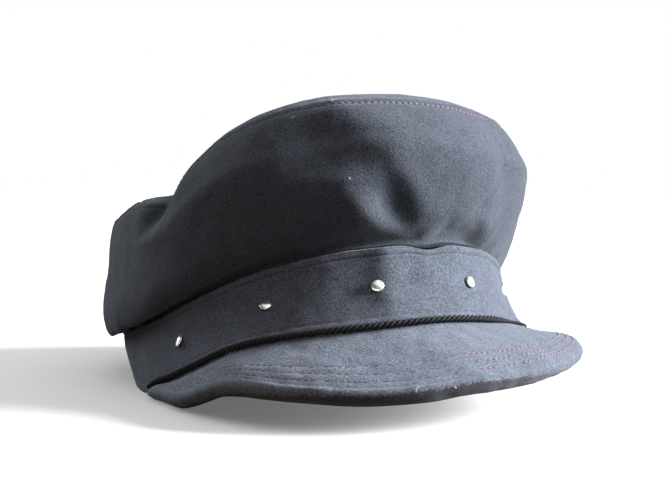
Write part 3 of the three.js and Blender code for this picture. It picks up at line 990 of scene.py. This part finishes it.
def top_sections():
    """Sections from the middle underneath to the seam and back on top, one for each station."""
    middle = [head_centre.x, head_centre.y + RIM_SET_BACK]
    front, rear = (rim_height(np.array([at]))[0] for at in (0.0, 180.0))
    tilt = (rear - front) / RIM_LENGTH
    away = crown_inside[:, -1, :2] - middle
    reach = np.linalg.norm(away, axis=-1, keepdims=True)
    away = away * (reach - TOP_SEAM_GAP) / reach
    place = middle + away[:, None] * (1 - top_levels[..., None])
    plane = (front + rear) / 2 + tilt * (place[..., 1] - middle[1])
    rim_plane = (front + rear) / 2 + tilt * away[:, 1:2]
    lean = (rim_height(crown_around) - rim_plane) * (1 - top_levels) ** 3
    sink = TOP_SINK * (1 - (1 - top_levels) ** 2)
    from_seam = top_levels * reach
    turned = TOP_TURN * groove(from_seam, 0, TOP_TURN)
    upper = np.concatenate([place, (plane + lean - sink - turned)[..., None]], axis=-1)
    puckers = PUCKER_HEIGHT * np.sin(np.radians(crown_around * PUCKERS))
    puckers = puckers * groove(from_seam, 0, PUCKER_REACH)
    calm = np.clip(from_seam / TOP_CALM, 0, 1)
    upper[..., 2] += (uneven(upper, TOP_UNEVEN) + puckers) * calm
    under = upper[:, ::-4] - [0, 0, TOP_SHEET]
    return np.concatenate([under, upper], axis=1)


def domed_skin(name, sections, finish):
    """One closed body from sections that run from a middle below to a middle above."""
    count, size = sections.shape[:2]
    i, j = np.meshgrid(np.arange(count), np.arange(size - 1), indexing="ij")
    ahead = (i + 1) % count
    quads = np.stack([i * size + j, ahead * size + j, ahead * size + j + 1, i * size + j + 1], -1)
    middles = [sections[:, 0].mean(axis=0), sections[:, -1].mean(axis=0)]
    points = np.vstack([sections.reshape(-1, 3), middles]).tolist()
    low, high = count * size, count * size + 1
    faces = quads.reshape(-1, 4).tolist()
    for k in range(count):
        after = (k + 1) % count
        faces.append((low, after * size, k * size))
        faces.append((high, k * size + size - 1, after * size + size - 1))
    return body(name, points, faces, finish)


top = wear(domed_skin("crown_top_cloth", top_sections(), crown_wool), "wool", "crown_top")

# %% [markdown]
# ## Padded peak
# The peak is two layers of wool over a soft pad, quilted with rows of stitches that follow its
# edge. The edge itself is a thick roll. The peak leaves the band, falls over the brow and ends on
# the surface the cap rests on at both sides. Blown up by a simulation it would lose that edge, so
# it is drawn as sections instead: a round edge with a long top that runs back to the band, with the
# stitch rows sunk a little into it.
#
# Its underside and the lower half of its roll are darkened with painted shade. Along its length its
# colour is painted lighter towards the shaded end at the wearer's right, partly as wear and partly as
# painted light, and darker towards the lit end. Both are numbers kept on the mesh, "under" for the
# painted shade and one more for the wear and painted light, for the cloth to read.

# %% Shape of the peak
PEAK_REACH = 0.032
PEAK_THICKNESS = 0.005
PEAK_ROLL = 0.0075
PEAK_EDGE_LIFT = 0.015
PEAK_TWIST = 0.004
PEAK_CROWN = 0.0015
PEAK_END = 79
ROLL_LIP = 60
ROLL_NOSE = 0.35
ROLL_UNDERCUT = 0.45
ROLL_UNDERCUT_LOST = 0.8
ROLL_FULL_AT = (5, 35)


def peak_frame(at):
    """Heights and arch of the peak's section at each angle, and a function for its round edge."""
    side = np.sign(at)
    top = band_low_edge(at) - CLEARANCE
    low = PEAK_EDGE_LIFT * along(PEAK_ROWS, "lift", np.abs(at))
    low = low + side * PEAK_TWIST * along(PEAK_ROWS, "twist", np.abs(at))
    edge = np.maximum(low, 0)
    roll = np.minimum(PEAK_ROLL, top - edge) / 2
    share = along(PEAK_ROWS, "reach", np.abs(at))
    full = np.clip((at - ROLL_FULL_AT[0]) / (ROLL_FULL_AT[1] - ROLL_FULL_AT[0]), 0, 1)
    nose = ROLL_NOSE * (1 - full)
    undercut = ROLL_UNDERCUT * (1 - ROLL_UNDERCUT_LOST * full)

    def on_roll(turn):
        turn = np.radians(turn)
        below = np.where(turn < 0, np.sin(turn) ** 2, 0)
        out = PEAK_REACH * share - roll + roll * (np.cos(turn) - undercut * below)
        return out, edge + roll + roll * (np.sin(turn) + nose * np.cos(turn) ** 2)

    return top, edge, on_roll, PEAK_CROWN * share


def on_peak(at, out, z):
    x, y = on_oval(BAND_WIDTH, BAND_LENGTH, 0, at, band_flare(at, 0) + out)
    return points_from(x, y, z)


print("the peak reaches", round(PEAK_REACH * 1000), "mm from the band in front")

# %% Make the peak
PEAK_STATIONS = 440
PEAK_END_FADE = 14
PEAK_UNEVEN = ((0.0005, 0.018, 9), (0.0003, 0.006, 10))
# Painted shade on the roll: dark below a turn that is highest near the middle front, fading over the
# given degrees.
PAINTED_SHADE_TURN = (-42, 72)
PAINTED_SHADE_MIDDLE = -8
PAINTED_SHADE_SPREAD = 32
PAINTED_SHADE_FADE = 45
# The value of the peak's colour along it: raised towards the shaded end at the wearer's right, partly
# as wear and partly as painted light, and lowered towards the lit end.
PEAK_WEAR_AND_PAINTED_LIGHT = (
    (-80, 1.5),
    (-60, 1.4),
    (-40, 1.2),
    (-20, 1.03),
    (0, 1.0),
    (20, 0.9),
    (45, 0.82),
    (80, 0.82),
)
STITCH_ROWS = (0.92, 0.80, 0.67)
STITCH_RELIEF = ((-0.00010, 0, 0.0006), (0.00008, 0.0019, 0.0014))
peak_around = np.linspace(-PEAK_END, PEAK_END, PEAK_STATIONS)[:, None]
under_shares = np.linspace(0, 1, 12)[None, :-1]
roll_turns = np.linspace(-90, ROLL_LIP, 31)[None, :]
top_shares = np.linspace(1, 0, 72)[None, 1:]


def peak_sections():
    """The peak's sections along its edge, its painted shade, and where its top starts in a section."""
    top, edge, on_roll, arch = peak_frame(peak_around)
    under = np.maximum(top - PEAK_THICKNESS, edge)
    roll_out, roll_z = on_roll(roll_turns)
    lip_out, lip_z = on_roll(ROLL_LIP)
    swell = arch * 4 * top_shares**2 * (1 - top_shares)
    under_out = -BAND_WALL + (roll_out[:, :1] + BAND_WALL) * under_shares
    parts = [
        on_peak(peak_around, under_out, under + (roll_z[:, :1] - under) * under_shares),
        on_peak(peak_around, roll_out, roll_z),
        on_peak(peak_around, lip_out * top_shares, top + (lip_z - top) * top_shares + swell),
        on_peak(peak_around, -BAND_WALL, top),
    ]
    first_roll, first_top, last_top = np.cumsum([part.shape[1] for part in parts[:3]])
    grid = np.concatenate(parts, axis=1)
    fade = np.clip((PEAK_END - np.abs(peak_around)) / PEAK_END_FADE, 0, 1)
    rough = np.zeros(grid.shape[:2])
    rough[:, first_roll + 4 : last_top - 3] = 1
    relief = uneven(grid, PEAK_UNEVEN) * rough * fade
    for row in STITCH_ROWS:
        distance = (top_shares - row) * lip_out
        for height, centre, width in STITCH_RELIEF:
            relief[:, first_top:last_top] += height * groove(distance, centre, width) * fade
    grid = grid + outwards(grid, False) * relief[..., None]
    grid[..., 2] = np.maximum(grid[..., 2], 0)
    # Painted shade: all of the underside, the roll below its turn, and none of the top.
    painted_shade_amount = np.ones(grid.shape[:2])
    painted_shade_turn = PAINTED_SHADE_TURN[0] + PAINTED_SHADE_TURN[1] * groove(peak_around, PAINTED_SHADE_MIDDLE, PAINTED_SHADE_SPREAD)
    painted_shade_amount[:, first_roll:first_top] = np.clip((painted_shade_turn - roll_turns) / PAINTED_SHADE_FADE, 0, 1)
    painted_shade_amount[:, first_top:] = 0
    return grid, painted_shade_amount, int(first_top)


def store(made, name, values):
    """Keeps one number for each point of a piece, for its finish to read."""
    kept = made.data.attributes.new(name, "FLOAT", "POINT")
    kept.data.foreach_set("value", values.ravel())


peak_grid, peak_painted_shade, peak_first_top = peak_sections()
peak = wear(skin("peak_cloth", peak_grid, False, peak_wool), "wool", "visor")
peak_wear_and_painted_light = np.interp(peak_around, *zip(*PEAK_WEAR_AND_PAINTED_LIGHT))
store(peak, "under", peak_painted_shade)
store(peak, "wear_and_painted_light", np.broadcast_to(peak_wear_and_painted_light, peak_painted_shade.shape))

# %% [markdown]
# ## Twisted cord and piping
# Both cords are three plies twisted together. Modelling the plies one by one would be slow and
# would leave them crossing each other. A Geometry Nodes tree makes the whole cord instead: a round
# outline is pushed in between the plies, and it is swept along the path while the path's tilt turns
# steadily. The number of turns is an input, so a closed ring of piping can take a whole number of
# thirds and meet itself without a step.
#
# Round the wearer's left the real cord is thinner, so the tree can also thin it along its way.

# %% A tree for twisted cord
OUTLINE_POINTS = 21


def interface(tree, inputs):
    """Names the inputs of a geometry tree and gives it one geometry in and out."""
    for name, kind in {"Geometry": "Geometry", **inputs}.items():
        tree.interface.new_socket(name, in_out="INPUT", socket_type="NodeSocket" + kind)
    tree.interface.new_socket("Geometry", in_out="OUTPUT", socket_type="NodeSocketGeometry")
    return node(tree, "NodeGroupInput").outputs


def finish_tree(tree, geometry, finish):
    """Ends a geometry tree with real meshes, smooth faces and its material."""
    real = node(tree, "GeometryNodeRealizeInstances", {"Geometry": geometry}).outputs[0]
    smooth = node(tree, "GeometryNodeSetShadeSmooth", {"Geometry": real}).outputs[0]
    dressed = node(tree, "GeometryNodeSetMaterial", {"Geometry": smooth, "Material": finish})
    node(tree, "NodeGroupOutput", {"Geometry": dressed.outputs[0]})


def ply_outline(tree, given):
    """A round line that is pushed in between the plies, at the cord's own radius."""
    sockets = {"Resolution": OUTLINE_POINTS, "Radius": 1.0}
    ring = node(tree, "GeometryNodeCurvePrimitiveCircle", sockets)
    place = node(tree, "GeometryNodeInputPosition").outputs[0]
    parts = node(tree, "ShaderNodeSeparateXYZ", {0: place}).outputs
    turn = maths(tree, "ARCTAN2", parts["Y"], parts["X"])
    from_ply = maths(tree, "PINGPONG", turn, maths(tree, "DIVIDE", math.pi, given["Plies"]))
    across = maths(tree, "MULTIPLY", maths(tree, "SINE", from_ply), 0.5)
    deep = maths(tree, "SUBTRACT", 0.25, maths(tree, "MULTIPLY", across, across))
    bulge = maths(tree, "SQRT", maths(tree, "MAXIMUM", deep, 0.0))
    outline = maths(tree, "MULTIPLY_ADD", maths(tree, "COSINE", from_ply), 0.5, bulge)
    size = maths(tree, "MULTIPLY", outline, given["Radius"])
    shaped = node(tree, "ShaderNodeVectorMath", {0: place, "Scale": size}, operation="SCALE")
    sockets = {"Geometry": ring.outputs[0], "Position": shaped.outputs[0]}
    return node(tree, "GeometryNodeSetPosition", sockets).outputs[0]


def twisted_cord_tree():
    """A cord of twisted plies along a line, which may thin along its way."""
    tree = bpy.data.node_groups.new("twisted_cord", "GeometryNodeTree")
    numbers = ("Radius", "Plies", "Turns", "Thin from", "Thin to", "Thin size")
    kinds = {**dict.fromkeys(numbers, "Float"), "Steps": "Int", "Finish": "Material"}
    given = interface(tree, kinds)
    line = node(tree, "GeometryNodeMeshToCurve", {"Mesh": given["Geometry"]}).outputs[0]
    sockets = {"Curve": line, "Count": given["Steps"]}
    route = node(tree, "GeometryNodeResampleCurve", sockets).outputs[0]
    share = node(tree, "GeometryNodeSplineParameter").outputs["Factor"]
    tilt = maths(tree, "MULTIPLY", maths(tree, "MULTIPLY", share, given["Turns"]), -2 * math.pi)
    twisted = node(tree, "GeometryNodeSetCurveTilt", {"Curve": route, "Tilt": tilt}).outputs[0]
    thin_from, thin_to, thin_size = (given[name] for name in numbers[3:])
    sockets = {
        "Curve": twisted,
        "Profile Curve": ply_outline(tree, given),
        "Fill Caps": True,
        "Scale": between(tree, share, thin_from, thin_to, 1.0, thin_size),
    }
    swept = node(tree, "GeometryNodeCurveToMesh", sockets)
    finish_tree(tree, swept.outputs[0], given["Finish"])
    return tree


twisted_cord = twisted_cord_tree()
print("the cord's tree has", len(twisted_cord.nodes), "nodes")

# %% Run a tree along a line
THINNED_NOWHERE = (1.0, 2.0, 1.0)


def path_object(name, points, looped):
    """A line of points as a mesh, for a geometry tree to follow."""
    count = len(points)
    edges = [(k, k + 1) for k in range(count - 1)] + ([(count - 1, 0)] if looped else [])
    mesh = bpy.data.meshes.new(name)
    mesh.from_pydata([tuple(p) for p in points], edges, [])
    return in_scene(name, mesh)


def grow(made, tree, settings):
    """Runs a geometry tree on an object and keeps what it makes as a plain mesh."""
    modifier = made.modifiers.new(tree.name, "NODES")
    modifier.node_group = tree
    for item in tree.interface.items_tree:
        if item.item_type == "SOCKET" and item.in_out == "INPUT" and item.name in settings:
            modifier[item.identifier] = settings[item.name]
    depsgraph = bpy.context.evaluated_depsgraph_get()
    mesh = bpy.data.meshes.new_from_object(made.evaluated_get(depsgraph))
    made.modifiers.clear()
    made.data = mesh
    print(made.name, "has", len(mesh.polygons), "faces")
    return made


def length_of(points, looped):
    """Length of a line of points."""
    ends = np.vstack([points, points[:1]]) if looped else points
    return float(np.linalg.norm(np.diff(ends, axis=0), axis=-1).sum())


def twist(name, points, looped, radius, plies, turns, steps, finish, thinned=THINNED_NOWHERE):
    """A twisted cord along a line of points."""
    settings = {
        "Radius": radius,
        "Plies": plies,
        "Turns": turns,
        "Steps": steps,
        "Thin from": thinned[0],
        "Thin to": thinned[1],
        "Thin size": thinned[2],
        "Finish": finish,
    }
    return grow(path_object(name, points, looped), twisted_cord, settings)


# %% Lay the cord along the peak
CORD_DIAMETER = 0.0028
CORD_CLEARANCE = 0.0004
CORD_PLIES = 3
CORD_PITCH = 0.0070
CORD_STEPS_A_TURN = 24
CORD_THIN_AT = (15, 27)
CORD_THIN_SIZE = 0.42
cord_at = np.linspace(-PEAK_END, PEAK_END, 240)


def cord_path(at):
    """The line in the corner between the band's foot and the peak."""
    share = np.clip((at - CORD_THIN_AT[0]) / (CORD_THIN_AT[1] - CORD_THIN_AT[0]), 0, 1)
    size = 1 - (1 - CORD_THIN_SIZE) * share * share * (3 - 2 * share)
    top, _, on_roll, _ = peak_frame(at)
    lip_out, lip_z = on_roll(ROLL_LIP)
    fall = np.arctan2(top - lip_z, lip_out)
    height = band_top_edge(at) - band_low_edge(at)
    band_out = np.stack([height, 2 * band_flare(at, 0)], -1)
    band_out /= np.linalg.norm(band_out, axis=-1, keepdims=True)
    peak_out = np.stack([np.sin(fall), np.cos(fall)], -1)
    distance = (size * CORD_DIAMETER / 2 + CORD_CLEARANCE) / (1 + (band_out * peak_out).sum(-1))
    shift = (band_out + peak_out) * distance[:, None]
    return on_peak(at, shift[:, 0], top + shift[:, 1])


route = cord_path(cord_at)
cord_length = length_of(route, False)
thin_from, thin_to = (
    length_of(route[: np.searchsorted(cord_at, at)], False) / cord_length for at in CORD_THIN_AT
)
cord = twist(
    "peak_cord",
    route,
    False,
    CORD_DIAMETER / 2,
    CORD_PLIES,
    cord_length / CORD_PITCH,
    round(cord_length / CORD_PITCH * CORD_STEPS_A_TURN),
    black_cord,
    (thin_from, thin_to, CORD_THIN_SIZE),
)
wear(cord, "black_cord", "visor_cord")
print("the cord is", round(cord_length * 1000), "mm long")
print("it thins from", round(thin_from, 2), "to", round(thin_to, 2), "of its length")

# %% Lay the piping behind the band's top edge
PIPING_PLIES = 3
PIPING_PITCH = 0.0030
PIPING_STEPS_A_TURN = 14
PIPING_SUNK = 0.0002
ring_at = np.linspace(-180, 180, 360, endpoint=False)
ring_x, ring_y = on_oval(
    BAND_WIDTH, BAND_LENGTH, BAND_SET_BACK, ring_at, -BAND_WALL - CLEARANCE - PIPING_DIAMETER / 2
)
ring_z = band_top_edge(ring_at) + PIPING_PEEK - PIPING_DIAMETER / 2 - PIPING_SUNK
ring = points_from(ring_x, ring_y, ring_z - PIPING_DIP * edge_dip(ring_at))
piping_length = length_of(ring, True)
piping_turns = round(piping_length / PIPING_PITCH * PIPING_PLIES) / PIPING_PLIES
piping = twist(
    "band_piping_cord",
    ring,
    True,
    PIPING_DIAMETER / 2,
    PIPING_PLIES,
    piping_turns,
    round(piping_turns * PIPING_STEPS_A_TURN),
    piping_wool,
)
wear(piping, "black_cord", "band_piping")
print("the piping is", round(piping_length * 1000), "mm round")

# %% [markdown]
# ## Stitches
# A row of machine stitches is the same short thread again and again, half sunk into the cloth. A
# dashed pattern in the material would stay flat and blur, so each thread is a slim ellipsoid. The
# tree resamples a path at the stitch's pitch, drops a few that have worn through, and sets a thread
# along the path at each point that is left.

# %% A tree for rows of stitches
THREAD_SIDES = {"Segments": 6, "Rings": 6, "Radius": 0.5}


def stitch_tree():
    """A row of short threads along a line, some of them worn away."""
    tree = bpy.data.node_groups.new("stitch_row", "GeometryNodeTree")
    numbers = dict.fromkeys(("Pitch", "Length", "Thickness", "Kept"), "Float")
    given = interface(tree, {**numbers, "Seed": "Int", "Finish": "Material"})
    line = node(tree, "GeometryNodeMeshToCurve", {"Mesh": given["Geometry"]}).outputs[0]
    sockets = {"Curve": line, "Length": given["Pitch"]}
    row = node(tree, "GeometryNodeResampleCurve", sockets, mode="LENGTH").outputs[0]
    ahead = node(tree, "GeometryNodeInputTangent").outputs[0]
    turned = node(tree, "FunctionNodeAlignEulerToVector", {"Vector": ahead}, axis="Z").outputs[0]
    thread = node(tree, "GeometryNodeMeshUVSphere", THREAD_SIDES).outputs["Mesh"]
    sockets = {"X": given["Thickness"], "Y": given["Thickness"], "Z": given["Length"]}
    size = node(tree, "ShaderNodeCombineXYZ", sockets).outputs[0]
    sockets = {"Probability": given["Kept"], "Seed": given["Seed"]}
    kept = node(tree, "FunctionNodeRandomValue", sockets, data_type="BOOLEAN").outputs[3]
    sockets = {
        "Points": row,
        "Selection": kept,
        "Instance": thread,
        "Rotation": turned,
        "Scale": size,
    }
    placed = node(tree, "GeometryNodeInstanceOnPoints", sockets)
    finish_tree(tree, placed.outputs[0], given["Finish"])
    return tree


stitch_row = stitch_tree()
print("the stitches' tree has", len(stitch_row.nodes), "nodes")

# %% Sew the rows
STITCH_LOOK = {"Pitch": 0.0026, "Length": 0.0021}
FINE_THREAD = 0.0004
FUZZY_THREAD = 0.0008
RIM_KEPT = (0.95, 0.9)
# The darker thread that paints shade on the peak's rows at the wearer's right: how many of its
# stitches stay, and what share of each row it takes.
SHADED_ROW_KEPT = 0.7
RED_KEPT = (0.8, 0.85, 0.95)
PEAK_SHADED_SHARE = 0.5
PEAK_ROW_ENDS = 36


def nearest(values, wanted):
    """The place in a row of values of the one nearest to a wanted value."""
    return int(np.argmin(np.abs(values - wanted)))


rim_row = crown_outside[:, nearest((rim_share - crown_ups[0]) * CROWN_RISE, RIM_STITCH_BELOW)]
band_row = band_outside[:, nearest((1 - band_ups[0]) * BAND_HEIGHT, BAND_STITCH_BELOW)]
red_from, red_to = (int((at + 180) / 360 * CROWN_STATIONS) for at in RIM_RED)
rim_front, rim_rear = rim_row[red_from:red_to], np.vstack([rim_row[red_to:], rim_row[:red_from]])
# Away from the front the rim's red thread, and on the peak the half of each row at the wearer's right,
# are drawn in a darker thread as painted shade.
rows = [
    ("rim_stitches_front", rim_front, False, red_thread, FUZZY_THREAD, RIM_KEPT[0]),
    ("rim_stitches_rear", rim_rear, False, dark_and_shaded_thread, FINE_THREAD, RIM_KEPT[1]),
    ("band_stitches", band_row, True, dark_and_shaded_thread, FINE_THREAD, 1.0),
]
for number, (share, red_kept) in enumerate(zip(STITCH_ROWS, RED_KEPT), 1):
    level = peak_first_top + nearest(top_shares[0], share)
    line = peak_grid[PEAK_ROW_ENDS:-PEAK_ROW_ENDS, level]
    split = int(len(line) * PEAK_SHADED_SHARE)
    right, left = (f"peak_stitches_{side}_{number}" for side in ("right", "left"))
    rows.append((right, line[:split], False, shaded_red_thread, FINE_THREAD, SHADED_ROW_KEPT))
    rows.append((left, line[split:], False, red_thread, FUZZY_THREAD, red_kept))
for seed, (name, points, looped, thread, thickness, kept) in enumerate(rows):
    settings = {**STITCH_LOOK, "Thickness": thickness, "Kept": kept, "Seed": seed, "Finish": thread}
    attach(grow(path_object(name, points, looped), stitch_row, settings), "root")

# %% [markdown]
# ## Lint
# A dark wool cap always carries a few pale threads. Scattered at random they would land where the
# photograph has none, so each has a row: its angle, its place up the surface, the way it points and
# its length. It is a short bent line on the cloth, which the cord's tree follows, thin and without
# a twist.

# %% Drop the lint
LINT_THICK = 0.00017
LINT_SIDES = 6
LINT_STEPS = 14
LINT_THINNED = (0.4, 1.0, 0.3)
LINT_BEND = 0.22
LINT_CURL = 4
LINT_LIFT = 0.0003
LINT_BOW = 0.0004
LINT_ON_CROWN = ((-23, 0.93, 70, 0.0019), (-32.5, 0.87, 30, 0.0014), (-20.5, 0.43, 120, 0.0013))
LINT_ON_PEAK = ((-12.5, 4, 60, 0.0030), (-6, 0, 140, 0.0014), (3, 6, 20, 0.0010))
CROWN_STEP = 0.01
ROLL_STEP = 2.0


def lint_path(start, round_head, climb, out, angle, length):
    """A bent line on the cloth from a start, at an angle to the way round the head."""
    turn = math.radians(angle)
    ahead = round_head * math.cos(turn) + climb * math.sin(turn)
    aside = climb * math.cos(turn) - round_head * math.sin(turn)
    shares = np.linspace(0, 1, 7)[:, None]
    bend = aside * np.sin(shares * LINT_CURL) * length * LINT_BEND
    lift = LINT_LIFT + LINT_BOW * np.sin(shares * math.pi)
    return start + ahead * shares * length + bend + out * lift


def lint_on(surface, at, up, step):
    """A place on a surface with its two directions and its normal."""
    round_head = surface(at + 0.3, up) - surface(at - 0.3, up)
    climb = surface(at, up + step) - surface(at, up - step)
    ways = (round_head, climb, np.cross(round_head, climb))
    return surface(at, up), *(way / np.linalg.norm(way) for way in ways)


def crown_place(at, up):
    return on_crown(np.array([[float(at)]]), np.array([[float(up)]]))[0, 0]


def peak_place(at, turn):
    at, turn = np.array([[float(at)]]), np.array([[float(turn)]])
    return on_peak(at, *peak_frame(at)[2](turn))[0, 0]


threads = [(crown_place, CROWN_STEP, *row) for row in LINT_ON_CROWN]
threads += [(peak_place, ROLL_STEP, *row) for row in LINT_ON_PEAK]
for number, (surface, step, at, up, angle, length) in enumerate(threads, 1):
    path = lint_path(*lint_on(surface, at, up, step), angle, length)
    look_of = (LINT_THICK / 2, LINT_SIDES, 0.0, LINT_STEPS, lint_white, LINT_THINNED)
    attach(twist(f"lint_{number}", path, False, *look_of), "root")

# %% [markdown]
# ## Studs
# Each stud is a flat round dome with a thin rim, knocked a little out of round. A squashed sphere
# would have no rim, so its outline is turned round its own axis. That axis is square to the band,
# but three studs lean, and two of those have been pressed into the cloth, so that the light falls
# on each in its own way.

# %% Shape of the studs
STUD_DIAMETER = 0.005
STUD_HEIGHT = 0.0012
STUD_RIM = 0.0004
STUD_RISES = (12, 24, 36, 48, 60, 72, 82)
STUD_SPACING = 0.044
STUD_PLACES = (-2.5, -1.5, -0.5, 0.5, 1.3, 2.3)
STUD_LEVEL = 0.51
STUD_SIDES = 28
STUD_DENT = 0.02
STUD_LEANS = ((-0.3, 0.2), (0.2, 0.8), (0, 0), (0, 0), (-0.4, 0), (0, 0))
STUD_PRESSED = (0.0003, 0.0007, 0, 0, 0, 0)


def angle_at_arc(distance):
    """The angle at a distance along the band from the centre front."""
    fine = np.arange(0, 120, 0.05)
    places = on_band(fine, STUD_LEVEL, 0)[:, :2]
    run = np.concatenate(([0], np.cumsum(np.linalg.norm(np.diff(places, axis=0), axis=-1))))
    return math.copysign(float(np.interp(abs(distance), run, fine)), distance)


def stud_seat(at, lean, pressed):
    """The middle of a stud's foot on the band, and the way the stud faces."""
    places = at + np.array([[-1.0], [0.0], [1.0]])
    patch = on_band(places, STUD_LEVEL + np.array([[-0.05, 0.0, 0.05]]), 0)
    out = Vector(np.cross(patch[2, 1] - patch[0, 1], patch[1, 2] - patch[1, 0])).normalized()
    foot = Vector(patch[1, 1]) + out * (CLEARANCE - pressed)
    out = out + Vector((-out.y, out.x, 0)) * lean[0] + Vector((0, 0, lean[1]))
    return foot, out.normalized()


def stud_dome(name, foot, out, dent_from):
    """A closed dome with a thin rim, from rings of points round its own axis."""
    turn = out.to_track_quat("Z", "Y").to_matrix()
    profile = [(1.0, 0.0), (1.0, STUD_RIM)]
    for rise in np.radians(STUD_RISES):
        profile.append((math.cos(rise), STUD_RIM + (STUD_HEIGHT - STUD_RIM) * math.sin(rise)))
    points = [foot]
    for share, height in profile:
        for side in range(STUD_SIDES):
            angle = 2 * math.pi * side / STUD_SIDES
            dent = 1 - STUD_DENT * math.cos(3 * angle + dent_from) * share
            radius = STUD_DIAMETER / 2 * share * dent
            flat = Vector((radius * math.cos(angle), radius * math.sin(angle), height))
            points.append(foot + turn @ flat)
    points.append(foot + out * STUD_HEIGHT)
    pairs = [(side, (side + 1) % STUD_SIDES) for side in range(STUD_SIDES)]
    faces = [(0, 1 + t, 1 + s) for s, t in pairs]
    for here in range(1, 1 + (len(profile) - 1) * STUD_SIDES, STUD_SIDES):
        faces += [(here + s, here + t, here + STUD_SIDES + t, here + STUD_SIDES + s) for s, t in pairs]
    last = 1 + (len(profile) - 1) * STUD_SIDES
    faces += [(last + s, last + t, len(points) - 1) for s, t in pairs]
    return body(name, [tuple(p) for p in points], faces, silver)


# %% Put the studs on the band
for number, (place, lean, pressed) in enumerate(zip(STUD_PLACES, STUD_LEANS, STUD_PRESSED), 1):
    at = angle_at_arc(place * STUD_SPACING)
    dome = stud_dome(f"stud_dome_{number}", *stud_seat(at, lean, pressed), at)
    wear(dome, "silver_stud", f"stud_{number}")
    print("stud", number, "at", round(at, 1), "degrees")
